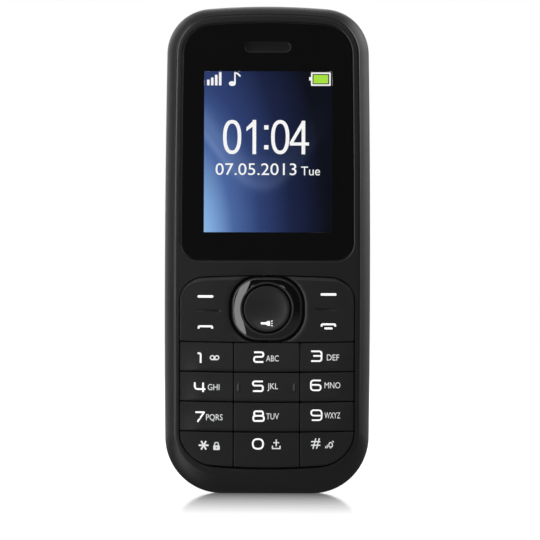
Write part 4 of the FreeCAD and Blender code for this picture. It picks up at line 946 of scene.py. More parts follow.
def add_stem(shape, center, back, front):
    loop = disc(center, STEM_RADIUS, 24)
    shape.plug([(shifted(loop, 0.1), back), (loop, back + 0.1), (loop, front)])


def key_cap(outline, surface, grid, rim, border):
    """Upright sides, a rounded rim and a front that has grid points a border inside the outline."""
    shape = Shape()
    rim_loops = [(shifted(outline, inset), lowered(surface, drop)) for inset, drop in rim_steps(rim)]
    rings = shape.sleeve([(outline, KEY_BACK), *rim_loops])
    shape.cap(rings[0])
    edge = shifted(outline, border)
    shape.cap(rings[-1], extra=[p for p in grid if inside(p, edge)], level=surface)
    return shape


def make_keys():
    """Each number key's cap with its stem."""
    for name in key_names():
        (left, right), (stem_end, _), (low, high) = span(name)
        shape = key_cap(key_outline(name), key_surface(name), key_grid(name), KEY_RIM, KEY_RIM * 1.4)
        add_stem(shape, ((left + right) / 2, (low + high) / 2), stem_end, KEY_BACK + STEM_OVERLAP)
        settle(shape.build(name + "_cap", MATERIALS["keys"], 50), name, "keys", name)


# Function keys: a wide panel on each side of the ring

RING_CORNER = 6.2
RING_GAP = 0.25
FUNCTION_RIM = 0.12
FUNCTION_BEVEL = {"width": 0.75, "fall": 0.24}
# Distances from the phone's middle between which the bevel fades, at its outer and its inner end
BEVEL_ENDS = ((18.4, 15.0), (2.6, 5.6))
# The panel's tips are cut square, a little above and below the ring.
TIP_CUT = 0.35
TIP_SPACE = 0.6
RING_MOAT = {"width": 1.2, "fall": 0.35}
GROOVE_DEPTH = 0.24
GROOVE_REACH = 0.24
# Where the rows of points lie below the top edge and outside the ring, and across the groove's length
BEVEL_ROWS = (0.2, 0.3, 0.4, 0.5, 0.6, 0.7, 0.78, 0.9)
MOAT_ROWS = (0.5, 0.65, 0.8, 0.95, 1.1, 1.25)
GROOVE_SHARES = (0.0, 0.94, 0.97, 1.0, 0.03, 0.06)
GROOVES = {"function_key_left": ((-16.2, -10.1), 39.55), "function_key_right": ((10.4, 16.1), 39.9)}


def ring_box():
    (_, right), _, (low, high) = span("nav_ring")
    return right, (high - low) / 2, (low + high) / 2


def box_reach(turn, half_width, half_height, corner):
    """Distance from the centre of a rounded box to its outline, in one direction."""
    ux, uz = abs(math.cos(turn)), abs(math.sin(turn))
    core_x, core_z = half_width - corner, half_height - corner
    if ux > 1e-9 and half_width / ux * uz <= core_z:
        return half_width / ux
    if uz > 1e-9 and half_height / uz * ux <= core_x:
        return half_height / uz
    along = ux * core_x + uz * core_z
    return along + math.sqrt(along**2 - core_x**2 - core_z**2 + corner**2)


def ring_reach(turn, out=0.0):
    """Distance from the ring's centre to its outline, or to a line further out."""
    half_width, half_height, _ = ring_box()
    return box_reach(turn, half_width + out, half_height + out, RING_CORNER + out)


def corner_fall(x):
    """How far a function key's top edge lies below its height, at its outer corner."""
    corner = KEYPAD_CORNERS[0]
    beyond = max(abs(x) - (KEYPAD_SIDE - corner), 0)
    return corner - math.sqrt(max(corner**2 - beyond**2, 0))


def function_outline(name):
    _, _, (low, high) = span(name)
    _, _, middle = ring_box()
    corner = KEYPAD_CORNERS[0] - KEYPAD_GAP
    block = rounded_box((0, KEYPAD_SIDE), (low, high), (0.3, corner, 0.01, 0.01), 0.5, 12)
    curve = []
    for turn in (math.radians(d) for d in range(-90, 91, 2)):
        reach = ring_reach(turn, RING_GAP)
        curve.append((reach * math.cos(turn), middle + reach * math.sin(turn)))
    curve = [p for p in curve if low < p[1] < high]
    foot, head = (curve[0][0] - TIP_CUT, low), (curve[-1][0] - TIP_CUT, high)
    base = sorted(p for p in block if p[1] < low + 1e-6)
    rest = [p for p in block if p[1] > low + 1e-6]
    outer = [p for p in base + rest if p[0] > foot[0] + TIP_SPACE]
    loop = bowed([foot, *outer, head, *curve[::-1]])
    return loop if name.endswith("right") else [(-x, z) for x, z in reversed(loop)]


def ring_distance(x, z):
    """How far a point lies outside the ring's own outline."""
    up = z - ring_box()[2]
    return math.hypot(x, up) - ring_reach(math.atan2(up, x))


def function_surface(name):
    """Flat, with a bevel along the top edge and a short tapering groove between its two functions."""
    _, (_, peak), (_, high) = span(name)
    (groove_left, groove_right), groove_z = GROOVES[name]
    outer_end, inner_end = BEVEL_ENDS

    def front(x, z):
        flat_z = z - bow(x, z)
        level = peak
        below_top = high - flat_z - corner_fall(x)
        width = FUNCTION_BEVEL["width"] * smooth_step(*outer_end, abs(x)) * smooth_step(*inner_end, abs(x))
        if width > 0.02 and below_top < width:
            level -= FUNCTION_BEVEL["fall"] * (1 - max(below_top, 0) / width) * min(width / 0.5, 1)
        level -= RING_MOAT["fall"] * max(0.0, 1 - ring_distance(x, z) / RING_MOAT["width"]) ** 2
        share = (x - groove_left) / (groove_right - groove_left)
        share = share if name.endswith("left") else 1 - share
        if 0 < share < 1:
            # The groove runs out towards the side of the phone.
            depth = GROOVE_DEPTH * smooth_step(0.0, 0.75, share) * smooth_step(1.0, 0.95, share)
            off = (flat_z - groove_z) / GROOVE_REACH
            level -= depth * max(0.0, 1 - abs(off)) ** 0.7
        return level

    return front


def function_grid(name):
    """Points across a function key's front, dense along its bevel, its groove and the ring."""
    (left, right), _, (low, high) = span(name)
    (groove_left, groove_right), groove_z = GROOVES[name]
    x_steps = steps(left, right, 0.4)
    z_steps = steps(low, groove_z - 0.4, 0.55) + [groove_z + d for d in both_ways(0.12, GROOVE_REACH, 0.3)]
    z_steps += steps(groove_z + 0.4, high - 1.0, 0.55)
    points = [(x, z) for x in x_steps for z in z_steps]
    for x in x_steps:
        points += [(x, high - corner_fall(x) - d) for d in BEVEL_ROWS]
    side, middle = (1 if name.endswith("right") else -1), ring_box()[2]
    for turn in (math.radians(d) for d in range(-60, 61, 4)):
        for out in MOAT_ROWS:
            reach = ring_reach(turn) + out
            x, z = reach * math.cos(turn), middle + reach * math.sin(turn)
            points.append((side * x, z - bow(x, z)))
    ends = [groove_left + (groove_right - groove_left) * s for s in GROOVE_SHARES]
    points += [(x, groove_z + d) for x in ends for d in both_ways(0.12, GROOVE_REACH)]
    return bowed(points)


def make_function_keys():
    for name in ("function_key_left", "function_key_right"):
        outline, surface, grid = function_outline(name), function_surface(name), function_grid(name)
        shape = key_cap(outline, surface, grid, FUNCTION_RIM, FUNCTION_RIM * 1.5)
        piece = shape.build(name + "_cap", MATERIALS["keys"], 50)
        settle(piece, name.replace("_key", ""), "keys", name)


# Ring and centre key

DISH_DEPTH = 0.7
DISH_REACH = 0.93
DISH_STEPS = 16
CENTER_INSET = 0.15
CENTER_DEPTH = 1.3
CENTER_RIM = {"round": 0.22, "drop": 0.04}
BEAD_REACH = 5.8
RING_DEPTH = 1.9
RING_TURNS = 180
DOME_STEPS = 16
RING_INSET = 0.3
LIP_WIDTH = 0.5
# The dome's drop at the bead, and its slope and curve outwards from there
DOME = (0.12, 0.344, 0.062)
# (inset from the lip's outline, level below its inner edge)
LIP_PROFILE = (
    (0.0, 0.5), (0.005, 0.44), (0.025, 0.346), (0.06, 0.271), (0.12, 0.194), (0.2, 0.127), (0.3, 0.069),
    (0.4, 0.0287), (0.5, 0.0),
)
# (radius, level below the ring's peak) of the satin bead that borders the bore
BEAD_PROFILE = (
    (5.8, 0.2), (5.795, 0.1), (5.77, 0.052), (5.73, 0.022), (5.67, 0.004), (5.61, 0.0), (5.55, 0.005),
    (5.49, 0.026), (5.44, 0.064), (5.41, 0.12), (5.4, 0.2),
)


def dome_drop(radius):
    """The glossy part is a shallow dome that grows steeper outwards."""
    out = max(radius - BEAD_REACH, 0.0)
    return sum(factor * out**power for power, factor in enumerate(DOME))


def make_ring():
    """The glossy dome, and its satin lip and bead, as closed bands."""
    _, _, middle = ring_box()
    _, (_, peak), _ = span("nav_ring")
    turns = [FULL_TURN * k / RING_TURNS for k in range(RING_TURNS)]
    back = [peak - RING_DEPTH] * RING_TURNS

    def closed_band(name, rings, material, *nodes):
        """A closed band from loops of (reach at each turn, level at each turn)."""
        shape = Shape()
        loops = []
        for reaches, levels in [(rings[0][0], back), *rings, (rings[-1][0], back)]:
            flat = [(r * math.cos(t), middle + r * math.sin(t)) for r, t in zip(reaches, turns)]
            loops.append(shape.loop(flat, 0))
            for k, level in zip(loops[-1], levels):
                shape.points[k] = (shape.points[k][0], level, shape.points[k][2])
        shape.tube([*loops, loops[0]])
        settle(shape.build(name, material, 50), "ring", "ring", *nodes)

    edge = [ring_reach(turn, -RING_INSET - LIP_WIDTH) for turn in turns]
    lip = []
    for inset, drop in LIP_PROFILE:
        reaches = [ring_reach(turn, -RING_INSET - inset) for turn in turns]
        lip.append((reaches, [peak - dome_drop(r) - drop for r in edge]))
    dome = []
    for share in (k / DOME_STEPS for k in range(DOME_STEPS + 1)):
        reaches = [r + (BEAD_REACH - r) * share for r in edge]
        dome.append((reaches, [peak - dome_drop(r) for r in reaches]))
    bead = [([radius] * RING_TURNS, [peak - drop] * RING_TURNS) for radius, drop in BEAD_PROFILE]
    satin = plastic("ring_satin", (0.021, 0.021, 0.0215), 0.3, 0.001, 9000.0)
    closed_band("nav_ring_cap", dome, MATERIALS["ring"], "nav_ring")
    closed_band("nav_ring_lip", lip, satin)
    closed_band("nav_ring_bead", bead, satin)


def center_cap():
    """The centre key's middle, radius and front level."""
    (left, right), (_, front), (low, high) = span("nav_center_key")
    return ((left + right) / 2, (low + high) / 2), (right - left) / 2 - CENTER_INSET, front


def center_surface():
    """A shallow dish inside the cap's flat rim."""
    (_, middle), radius, front = center_cap()

    def surface(x, z):
        away = math.hypot(x, z - middle) / radius
        return front - DISH_DEPTH * max(0.0, 1 - (away / DISH_REACH) ** 2)

    return surface


def make_center_key():
    _, (stem_end, _), _ = span("nav_center_key")
    center, radius, front = center_cap()
    surface = center_surface()
    profile = [(radius, front - CENTER_DEPTH)]
    rim, rim_drop = CENTER_RIM.values()
    profile += [(radius - inset, front - rim_drop - drop) for inset, drop in rim_steps(rim)]
    for k in range(1, DISH_STEPS + 1):
        away = (radius - 0.3) * (1 - k / DISH_STEPS) + 0.05
        profile.append((away, surface(center[0] + away, center[1])))
    shape = Shape()
    shape.plug([(disc(center, reach, 96), level) for reach, level in profile])
    add_stem(shape, center, stem_end, front - CENTER_DEPTH + STEM_OVERLAP)
    material = plastic("center_plastic", (0.017, 0.017, 0.0175), 0.35, 0.004, 9000.0)
    settle(shape.build("nav_center_cap", material, 50), "center_key", "keys", "nav_center_key")


# Legends

DIGIT_STROKE = 0.385
# The share of the stroke that some digits have
THIN_DIGITS = {"3": 0.95, "6": 0.9, "9": 0.87, "0": 0.97}
# Pen paths in a unit box; each path is its points, a corner radius in millimetres and whether it closes.
DIGITS = {
    "1": (([(0, 1), (1, 1), (1, 0)], 0.5, False),),
    "2": (([(0, 1), (1, 1), (1, 0.53), (0, 0.53), (0, 0), (1, 0)], 0.55, False),),
    "3": (([(0, 1), (1, 1), (1, 0), (0, 0)], 0.55, False), ([(0.2, 0.53), (0.95, 0.53)], 0, False)),
    "4": (([(0, 1), (0, 0.3), (1.1, 0.3)], 0.75, False), ([(0.86, 0.98), (0.86, 0)], 0, False)),
    "5": (([(1, 1), (0, 1), (0, 0.57), (1, 0.57), (1, 0), (0, 0)], 0.45, False),),
    "6": (([(1, 1), (0, 1), (0, 0), (1, 0), (1, 0.55), (0.05, 0.55)], 0.7, False),),
    "7": (([(0, 1), (1, 1), (0.25, 0)], 0.12, False),),
    "8": (
        ([(0.08, 1), (0.92, 1), (0.92, 0.53), (0.08, 0.53)], 0.45, True),
        ([(0, 0.53), (1, 0.53), (1, 0), (0, 0)], 0.45, True),
    ),
    "9": (([(0.05, 0), (1, 0), (1, 1), (0, 1), (0, 0.46), (0.95, 0.46)], 0.7, False),),
    "0": (([(0, 0), (1, 0), (1, 1), (0, 1)], 2.0, True),),
}
# Heights of the digits' feet, one for each row, and how far above them the words stand
LEGEND_ROWS = (28.25, 21.95, 15.5, 9.48)
WORD_RISES = (0.32, 0.62, 0.56, 0.22)
# The same for the small signs of the first and the last row
SIGN_RISES = {0: 0.8, 3: 0.12}
# The print climbs a little towards the right, per millimetre.
PRINT_LEAN = 0.019
DIGIT_HEIGHT = 2.47
SIGN_SHARE = 0.92
# Each key: its row, its sign with left and width, then its word or small sign with left and width.
LEGENDS = {
    "key_1": (0, ("1", -15.15, 1.04), ("mailbox", -12.34, 2.1)),
    "key_2": (0, ("2", -2.95, 2.4), ("ABC", -0.17, 2.75)),
    "key_3": (0, ("3", 9.4, 2.6), ("DEF", 12.98, 2.65)),
    "key_4": (1, ("4", -15.75, 2.48), ("GHI", -12.73, 2.5)),
    "key_5": (1, ("5", -3.17, 2.53), ("JKL", 0.15, 2.3)),
    "key_6": (1, ("6", 9.37, 2.47), ("MNO", 12.5, 3.4)),
    "key_7": (2, ("7", -15.62, 2.3), ("PQRS", -13.1, 3.58)),
    "key_8": (2, ("8", -3.06, 2.65), ("TUV", -0.1, 2.75)),
    "key_9": (2, ("9", 9.46, 2.6), ("WXYZ", 12.5, 3.4)),
    "key_star": (3, ("star", -14.68, 2.15), ("lock", -11.52, 1.4)),
    "key_0": (3, ("0", -3.17, 2.6), ("tray", 1.14, 1.9)),
    "key_hash": (3, ("hash", 9.62, 2.0), ("mode", 12.66, 1.8)),
}
WORD_HEIGHT = 1.28
STAR_PEN = 0.37
HASH_PEN = 0.27
HASH_LEAN = 0.3
MAILBOX_PEN = 0.24
MAILBOX_LIFT = 0.13
TRAY_PEN = 0.27


def digit(work, sign, left, low, width, height, pen):
    for points, radius, closed in DIGITS[sign]:
        wide, tall = width - pen, height - pen
        path = [(left + pen / 2 + x * wide, low + pen / 2 + z * tall) for x, z in points]
        work.pen(path, pen, radius, closed)


def star(work, left, low, width, height):
    x, z, reach = left + width / 2, low + height / 2, width / 2
    for k in range(3):
        a = k * math.pi / 3
        dx, dz = reach * math.cos(a), reach * math.sin(a)
        work.pen([(x - dx, z - dz), (x + dx, z + dz)], STAR_PEN)


def hash_sign(work, left, low, width, height):
    for x in (left + width * share for share in (0.36, 0.74)):
        work.pen([(x - HASH_LEAN, low), (x + HASH_LEAN, low + height)], HASH_PEN)
    for z in (low + height * share for share in (0.34, 0.68)):
        work.pen([(left, z), (left + width, z)], HASH_PEN)


def mailbox(work, left, low, width):
    """Two reels on a tape."""
    radius, right = width * 0.2, left + width
    for x in (left + radius + MAILBOX_LIFT, right - radius - MAILBOX_LIFT):
        work.pen(disc((x, low + radius + MAILBOX_LIFT), radius, 20), MAILBOX_PEN, 0, True)
    work.pen([(left + radius, low + 0.12), (right - radius, low + 0.12)], MAILBOX_PEN)


def lock(work, left, low, width):
    right = left + width
    body = rounded_box((left, right), (low, low + 1.0), (0.12,) * 4, 1.0, 4)
    work.fill(body, disc((left + width / 2, low + 0.5), 0.15, 12))
    posts = (left + 0.3, right - 0.3)
    shackle = [(posts[0], 0.95), (posts[0], 1.62), (posts[1], 1.62), (posts[1], 0.95)]
    work.pen([(x, low + up) for x, up in shackle], 0.22, 0.5)


def tray(work, left, low, width):
    """A tray with a cross standing in it."""
    ends, middle = (left + 0.14, left + width - 0.14), left + width / 2
    rim = [(ends[0], 0.75), (ends[0], 0.14), (ends[1], 0.14), (ends[1], 0.75)]
    for line_points in (rim, [(middle, 0.62), (middle, 2.1)], [(middle - 0.62, 1.4), (middle + 0.62, 1.4)]):
        work.pen([(x, low + up) for x, up in line_points], TRAY_PEN)


def mode(work, left, low, width):
    """Rising bars beside a small bell."""
    for k, tall in enumerate((0.45, 0.75)):
        x = left + 0.12 + k * 0.34
        work.pen([(x, low), (x, low + tall)], 0.2)
    center = left + width * 0.66
    bell = ((-0.42, 0.3), (-0.3, 1.25), (0.3, 1.25), (0.42, 0.3))
    work.pen([(center + off, low + up) for off, up in bell], 0.22, 0.3, True)
    work.pen([(center - 0.14, low + 0.04), (center + 0.14, low + 0.04)], 0.2)
    work.pen(arc((center, low + 0.9), 0.78, 0.5, 1.1, 5), 0.16)


SIGNS = {"star": star, "hash": hash_sign}
SMALL_SIGNS = {"mailbox": mailbox, "lock": lock, "tray": tray, "mode": mode}


def add_word(work, words, left, low, width, height):
    """Letters that fill a width exactly."""
    probe = Print()
    probe.text(words, 0, 0, 1.0)
    across = [x for x, _ in probe.letters[0][0]]
    start, end = min(across), max(across)
    squeeze = width / ((end - start) * height)
    work.text(words, left - start * height * squeeze, low, height, squeeze)


def make_legends():
    for name, (row, (sign, left, width), (label, label_left, label_width)) in LEGENDS.items():
        work, fine = Print(), Print()
        low = LEGEND_ROWS[row] + PRINT_LEAN * (left + width)
        if sign in SIGNS:
            SIGNS[sign](work, left, low, width, DIGIT_HEIGHT * SIGN_SHARE)
        else:
            digit(work, sign, left, low, width, DIGIT_HEIGHT, DIGIT_STROKE * THIN_DIGITS.get(sign, 1.0))
        if label in SMALL_SIGNS:
            SMALL_SIGNS[label](fine, label_left, low + SIGN_RISES[row], label_width)
        else:
            add_word(fine, label, label_left, low + WORD_RISES[row], label_width, WORD_HEIGHT)
        main_ink = GREY_INK if sign in SIGNS else WHITE_INK
        for printed, word, material in ((work, "digit", main_ink), (fine, "letters", GREY_INK)):
            piece = printed.build(name + "_" + word, material, key_surface(name))
            settle(piece, name, "white_plastic")


HANDSET = {"half": 1.46, "ends": 0.45, "bend": 0.5, "arch": 0.18, "pen": 0.43}


def receiver(work, x, z):
    """An arched handset with both ends turned down."""
    half, ends, bend, arch, pen = HANDSET.values()
    path = [(x - half, z - ends), (x - half, z), (x + half, z), (x + half, z - ends)]
    path = rounded_path(path, bend)
    work.pen([(px, pz + arch * (1 - ((px - x) / half) ** 2)) for px, pz in path], pen)


SIGN_REACH = 13.3
SOFT_BAR_LOW = 42.53
SOFT_BAR_HALF = 1.72
SOFT_BAR_TALL = 0.54
RECEIVER_HIGH = 36.3
# The end call sign has a bar under its handset: half its length, and its range below the handset's top.
END_BAR_HALF = 0.9
END_BAR_DROPS = (1.05, 0.6)


def make_function_legends():
    """A soft key's bar over a handset on each side; the right handset also has a bar under it."""
    for side, x in (("left", -SIGN_REACH), ("right", SIGN_REACH)):
        work = Print()
        bar_low, high = SOFT_BAR_LOW + PRINT_LEAN * x, RECEIVER_HIGH + PRINT_LEAN * x
        bar = (x - SOFT_BAR_HALF, x + SOFT_BAR_HALF), (bar_low, bar_low + SOFT_BAR_TALL)
        work.block(bar, corner=0.25, turns=8)
        receiver(work, x, high)
        if side == "right":
            bar = (x - END_BAR_HALF, x + END_BAR_HALF), tuple(high - drop for drop in END_BAR_DROPS)
            work.fill(rounded_box(*bar, (0.2,) * 4))
        piece = work.build("function_signs_" + side, WHITE_INK, function_surface("function_key_" + side))
        settle(piece, "function_" + side, "white_plastic")


TORCH_PLACE = (-1.33, 36.77)
# The torch head's lower half, and the ends of a ray, as distances from the sign's place
TORCH_HEAD = ((1.05, 0.25), (1.55, 0.52), (2.0, 0.52))
TORCH_RAY = (2.2, 2.6)


def make_torch_sign():
    """A torch with three rays, printed low on the centre key."""
    work = Print()
    x, z = TORCH_PLACE
    work.fill(rounded_box((x, x + 1.15), (z - 0.24, z + 0.24), (0.2, 0.02, 0.02, 0.2), 1.0, 4))
    lower, upper = ([(x + along, z + s * off) for along, off in TORCH_HEAD] for s in (-1, 1))
    work.fill(lower + upper[::-1])
    for rise in (-0.42, 0.0, 0.42):
        work.pen([(x + TORCH_RAY[0], z + rise), (x + TORCH_RAY[1], z + rise * 1.35)], 0.17)
    settle(work.build("torch_sign", WHITE_INK, center_surface()), "center_key", "white_plastic")


# Screen contents

CLOCK_STROKE = 0.78
CLOCK_LOW = 73.35
CLOCK_HEIGHT = 7.4
# Each numeral with its left and width
CLOCK = (("0", -9.65, 3.95), ("1", -5.05, 3.3), ("0", 0.75, 3.95), ("4", 4.65, 4.3))
CLOCK_DOTS = {"x": (-0.75, 0.18), "rises": (0.14, 0.72), "tall": 0.93}
# Each line's words, left, base line, width and height
DATE_LINES = (("07.05.2013", -11.25, 68.85, 17.5, 2.5), ("Tue", 7.25, 68.8, 4.1, 1.9))
SIGNAL_BARS = (1.25, 1.7, 2.3, 2.85)
SIGNAL_PLACE = (-13.15, 88.2)
NOTE_LEFT = -7.68
# The x and z ranges of the charge sign's parts
BATTERY_NUB = ((8.95, 9.35), (89.3, 90.05))
BATTERY_CASE = (((9.35, 13.62), (88.15, 91.05)), ((9.68, 13.29), (88.48, 90.72)))
BATTERY_RIM = (((9.72, 13.25), (88.52, 90.68)), ((9.91, 13.03), (88.71, 90.49)))
BATTERY_CHARGE = ((9.89, 13.05), (88.69, 90.51))


def rectangle(x_range, z_range):
    (left, right), (low, high) = x_range, z_range
    return [(left, low), (right, low), (right, high), (left, high)]


def squarer(number):
    """A sine or cosine, raised a little, for a circle with fuller corners."""
    return math.copysign(abs(number) ** 0.86, number)


def clock_digit(work, sign, left, width, pen):
    """Plain upright numerals in a narrow box."""
    low, height = CLOCK_LOW, CLOCK_HEIGHT
    right, high, middle = left + width, low + height, left + width / 2
    if sign == "0":
        half, tall = (width - pen) / 2, (height - pen) / 2
        bend = [(squarer(math.cos(a)), squarer(math.sin(a))) for a in (FULL_TURN * k / 48 for k in range(48))]
        work.pen([(middle + half * c, low + height / 2 + tall * s) for c, s in bend], pen, 0, True)
    if sign == "1":
        stem = left + width * 0.66
        flag = stem - width * 0.52
        work.pen([(stem, low), (stem, high)], pen)
        tip = [(stem - pen * 0.1, high), (stem + pen * 0.3, high), (stem + pen * 0.2, high - height * 0.14)]
        work.fill([(flag, high - height * 0.33), (flag, high - height * 0.22), *tip])
    if sign == "4":
        stem, bar = left + width * 0.72, low + height * 0.3
        work.pen([(stem, low), (stem, high - pen * 0.2)], pen)
        work.pen([(left + pen * 0.2, bar), (right, bar)], pen * 0.86)
        work.pen([(left + pen * 0.42, bar), (stem, high - pen * 0.55)], pen * 0.9)


def make_clock():
    """The clock, date and status signs, as lit shapes on the panel."""
    _, (_, front), _ = span("lcd_panel")
    work, charge, rim = Print(), Print(), Print()
    for sign, left, width in CLOCK:
        clock_digit(work, sign, left, width, CLOCK_STROKE)
    for z in (CLOCK_LOW + CLOCK_HEIGHT * rise for rise in CLOCK_DOTS["rises"]):
        work.fill(rectangle(CLOCK_DOTS["x"], (z, z + CLOCK_DOTS["tall"])))
    for words in DATE_LINES:
        add_word(work, *words)
    for k, tall in enumerate(SIGNAL_BARS):
        left, low = SIGNAL_PLACE[0] + k * 0.86, SIGNAL_PLACE[1]
        work.block(((left, left + 0.55), (low, low + tall)))
    note = NOTE_LEFT
    head = [FULL_TURN * k / 20 for k in range(20)]
    work.fill([(note + 0.75 * math.cos(a), 88.6 + 0.52 * math.sin(a)) for a in head])
    work.pen([(note + 0.58, 88.65), (note + 0.58, 90.9), (note + 1.15, 90.8), (note + 1.75, 90.15)], 0.34)
    work.fill(rectangle(*BATTERY_NUB))
    case, hollow = BATTERY_CASE
    work.fill(rounded_box(*case, (0.15,) * 4, 1.0, 3), rounded_box(*hollow, (0.08,) * 4, 1.0, 3))
    charge.block(BATTERY_CHARGE, corner=0.05)
    rim.block(*BATTERY_RIM, corner=0.05)
    for printed, name, material, proud in (
        (work, "screen_signs", LIT_WHITE, 0.012),
        (charge, "screen_charge", LIT_GREEN, 0.01),
        (rim, "screen_charge_rim", LIT_DARK, 0.008),
    ):
        settle(printed.build(name, material, lambda x, z: front, proud, 0.03), "root", "screen")


def lit(name, color):
    """A lit patch of the panel with its faint cell pattern."""
    material, tree, shader = new_material(name)
    mixed = mix_color(tree, noise(tree, 4000.0, 1.0), tinted(color, 0.94), color)
    set_inputs(tree, shader, Emission_Color=mixed, Base_Color=(0.01, 0.01, 0.01), Emission_Strength=1.0)
    return material


LIT_WHITE = lit("lit_white", (1.0, 1.0, 1.0))
LIT_GREEN = lit("lit_green", (0.42, 0.82, 0.05))
LIT_DARK = lit("lit_dark", (0.01, 0.015, 0.03))


# Earpiece mesh


CLOTH = {"pitch": 0.28, "wire": 0.055, "half_width": 4.62, "half_height": 0.76}


def make_earpiece_mesh():
    """Woven steel cloth behind the slot, let into its border."""
    (left, right), (back, front), (low, high) = span("earpiece_mesh")
    pitch, wire, reach, tall = CLOTH.values()
    depth, height = (back + front) / 2, (low + high) / 2
    shape = Shape()

    def half_row(z):
        return reach - tall + math.sqrt(max(tall**2 - (z - height) ** 2, 0.0))

    def half_column(x):
        beyond = max(abs(x) - (reach - tall), 0.0)
        return math.sqrt(max(tall**2 - beyond**2, 0.0))

    def weave(half, middle, spot, phase):
        """One wire that passes over and under those across it."""
        count = max(2, round(2 * half / pitch)) * 4
        rings = []
        for k in range(count + 1):
            along = middle + half * (2 * k / count - 1)
            lift = wire * math.cos(math.pi * ((along - middle) / pitch + phase))
            x, z, across_x, across_z = spot(along)
            first = len(shape.points)
            for j in range(6):
                a = j * math.pi / 3
                level = depth + lift + wire * math.sin(a) * 0.6
                side = wire * math.cos(a)
                shape.points.append((x + across_x * side, level, z + across_z * side))
            rings.append(list(range(first, first + 6)))
        shape.tube(rings)
        shape.faces.append(rings[0])
        shape.faces.append(rings[-1][::-1])

    for k, z in enumerate(steps(height - tall, height + tall, pitch)):
        weave(half_row(z), 0.0, lambda a, z=z: (a, z, 0, 1), k % 2)
    for k, x in enumerate(steps(-reach, reach, pitch)):
        weave(half_column(x), height, lambda a, x=x: (x, a, 1, 0), (k + 1) % 2)
    settle(shape.build("earpiece_cloth", MATERIALS["mesh"], 60), "root", "mesh", "earpiece_mesh")
    border = Shape()
    outline = rounded_box((left, right), (low, high), (0.4,) * 4, 1.0, 5)
    hole = rounded_box((-reach, reach), (height - tall, height + tall), (tall - 0.001,) * 4, 0.7, 10)
    outer, inner = (border.sleeve([(loop, back), (loop, depth - wire)]) for loop in (outline, hole))
    border.cap(outer[0], (inner[0],))
    border.cap(outer[1], (inner[1],))
    settle(border.build("earpiece_border", MATERIALS["black_plastic"], 40), "root", "mesh")


# Camera, light and floor

# X and height in millimetres, roll and turn in degrees, distance in metres, focal length in millimetres
CAMERA_TARGET = (0.5, 48.3)
CAMERA_ROLL = 0.17
CAMERA_TURN = 1.3
CAMERA_DISTANCE = 1.5
CAMERA_LENS = 461.0
# Each soft box: its turn from the front to the right, rise, distance and size in metres, radiance,
# the height in millimetres that it is aimed at, roll and shape
LAMPS = {
    "soft_box_left": (-45, 0, 0.21, (0.078, 0.42), 2.95, 57.0, -4.0, "ELLIPSE"),
    "soft_box_right": (92, 22, 0.3, (0.22, 0.25), 3.4, 85.0, 0.0, "RECTANGLE"),
    "soft_box_top": (0, 28, 0.5, (0.45, 0.11), 1.8, 50.0, 0.0, "RECTANGLE"),
    "soft_box_back": (180, 35, 1.5, (1.0, 0.8), 2.5, 50.0, 0.0, "RECTANGLE"),
    "soft_box_back_left": (-122, 22, 0.7, (0.5, 0.6), 1.8, 50.0, 0.0, "RECTANGLE"),
}
# How strongly the white room lights rough surfaces
AMBIENT = 0.55
# What polished surfaces mirror: nearly black on the camera's side, white behind, grey below
MIRRORED_DARK = 0.03
MIRRORED_GROUND = (0.22, 0.22, 0.22)
FLOOR_REACH = 3.0
FLOOR_GLOW = 0.84
# Half the phone's footprint in metres, and how far from it the floor still mirrors
FOOTPRINT = {"X": 0.018, "Y": 0.0065}
MIRROR_REACH = 0.165
MIRROR_STRENGTH = 1.3


def hang(name, data, target, turn, rise, distance, roll):
    """Adds a camera or lamp at a distance from a target in millimetres, and aims it there."""
    holder = bpy.data.objects.new(name, data)
    scene.collection.objects.link(holder)
    a, e = math.radians(turn), math.radians(rise)
    target = Vector((target[0] * MM, 0, target[1] * MM))
    away = Vector((math.sin(a) * math.cos(e), -math.cos(a) * math.cos(e), math.sin(e)))
    holder.location = target + away * distance
    holder.rotation_mode = "QUATERNION"
    facing = (target - holder.location).to_track_quat("-Z", "Y")
    holder.rotation_quaternion = facing @ Quaternion((0, 0, 1), math.radians(roll))
    return holder


def make_camera():
    """Straight at the front from a little to the right, at the height of the phone's middle."""
    lens = bpy.data.cameras.new("camera")
    lens.lens = CAMERA_LENS
    lens.sensor_width = 36
    scene.camera = hang("camera", lens, CAMERA_TARGET, CAMERA_TURN, 0, CAMERA_DISTANCE, CAMERA_ROLL)


def make_lights():
    for name, (turn, rise, distance, size, radiance, aim, roll, shape) in LAMPS.items():
        lamp = bpy.data.lights.new(name, "AREA")
        lamp.shape = shape
        lamp.size, lamp.size_y = size
        lamp.energy = radiance * math.pi * size[0] * size[1]
        hang(name, lamp, (0, aim), turn, rise, distance, roll)


def make_world():
    """A white room, dark on the camera's side for what polished surfaces mirror."""
    world = bpy.data.worlds.new("studio")
    scene.world = world
    world.use_nodes = True
    tree = world.node_tree
    rays = tree.nodes.new("ShaderNodeLightPath").outputs
    parts = axes(tree, "Generated")
    mirrored_wall = spread(tree, parts["Y"], MIRRORED_DARK, 1.0, -0.25, 0.35)
    below = spread(tree, parts["Z"], 1.0, 0.0, -0.35, -0.05)
    mirrored_room = mix_color(tree, below, mirrored_wall, MIRRORED_GROUND)
    seen = rays["Is Camera Ray"]
    mirrored_ray = calculate(tree, "MAXIMUM", rays["Is Glossy Ray"], rays["Is Transmission Ray"])
    glossy = calculate(tree, "MULTIPLY", mirrored_ray, mirrored_room)
    rest = calculate(tree, "SUBTRACT", 1.0, calculate(tree, "MAXIMUM", seen, mirrored_ray))
    ambient = calculate(tree, "MULTIPLY", rest, AMBIENT)
    total = calculate(tree, "ADD", calculate(tree, "ADD", seen, glossy), ambient)
    set_inputs(tree, tree.nodes["Background"], Color=(1, 1, 1), Strength=total)


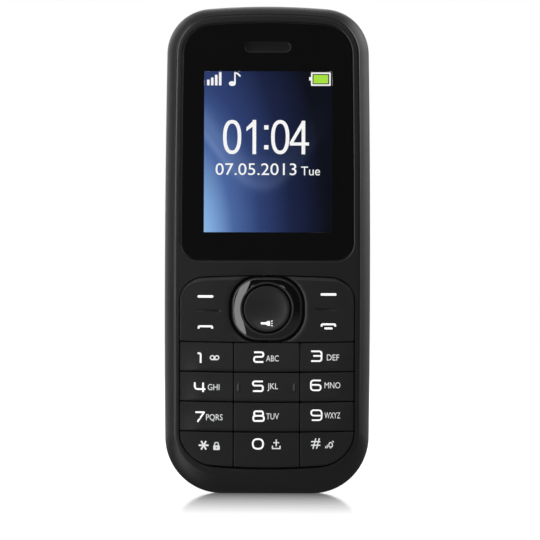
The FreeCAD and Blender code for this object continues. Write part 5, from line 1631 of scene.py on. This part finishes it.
def make_floor():
    """A polished white floor: the phone mirrors in it close by, and the mirror fades with distance."""
    mesh = bpy.data.meshes.new("floor")
    corners = rectangle((-FLOOR_REACH, FLOOR_REACH), (-FLOOR_REACH, FLOOR_REACH))
    mesh.from_pydata([(x, y, 0) for x, y in corners], [], [(0, 1, 2, 3)])
    floor = bpy.data.objects.new("floor", mesh)
    scene.collection.objects.link(floor)
    material, tree, shader = new_material("floor_white")
    mesh.materials.append(material)
    parts = axes(tree)
    sides = []
    for axis, half in FOOTPRINT.items():
        away = calculate(tree, "SUBTRACT", calculate(tree, "ABSOLUTE", parts[axis]), half)
        sides.append(calculate(tree, "MAXIMUM", away, 0.0))
    near = spread(tree, distance_of(tree, *sides), MIRROR_STRENGTH, 0.0, 0.0, MIRROR_REACH)
    rays = tree.nodes.new("ShaderNodeLightPath").outputs
    seen = rays["Is Camera Ray"]
    tint = mix_color(tree, noise(tree, 3.0), (0.35, 0.35, 0.35), (0.37, 0.37, 0.37))
    mirrored = mix_color(tree, rays["Is Glossy Ray"], tint, (0.2, 0.2, 0.2))
    glow = calculate(tree, "MULTIPLY", seen, FLOOR_GLOW)
    set_inputs(tree, shader, Base_Color=mirrored, Emission_Color=(1, 1, 1), Emission_Strength=glow)
    set_inputs(tree, shader, Roughness=0.6, Specular_IOR_Level=0.0)
    mirror = add_node(tree, "ShaderNodeBsdfGlossy", Color=(1, 1, 1), Roughness=0.06)
    # It mirrors only at a grazing look, as polished stone does.
    grazing = add_node(tree, "ShaderNodeFresnel", IOR=1.45).outputs["Fac"]
    share = calculate(tree, "MULTIPLY", near, calculate(tree, "POWER", grazing, 2.0))
    mixer = add_node(tree, "ShaderNodeMixShader", Fac=calculate(tree, "MULTIPLY", share, seen))
    tree.links.new(shader.outputs[0], mixer.inputs[1])
    tree.links.new(mirror.outputs[0], mixer.inputs[2])
    tree.links.new(mixer.outputs[0], tree.nodes["Material Output"].inputs["Surface"])
    # Polished parts mirror the studio beyond the floor, not the floor itself.
    floor.visible_glossy = False


dress_frame()
make_front_housing()
make_window()
make_screen()
make_keys()
make_function_keys()
make_ring()
make_center_key()
make_legends()
make_function_legends()
make_torch_sign()
make_clock()
make_earpiece_mesh()
make_camera()
make_lights()
make_world()
make_floor()
scene.view_settings.view_transform = "Standard"
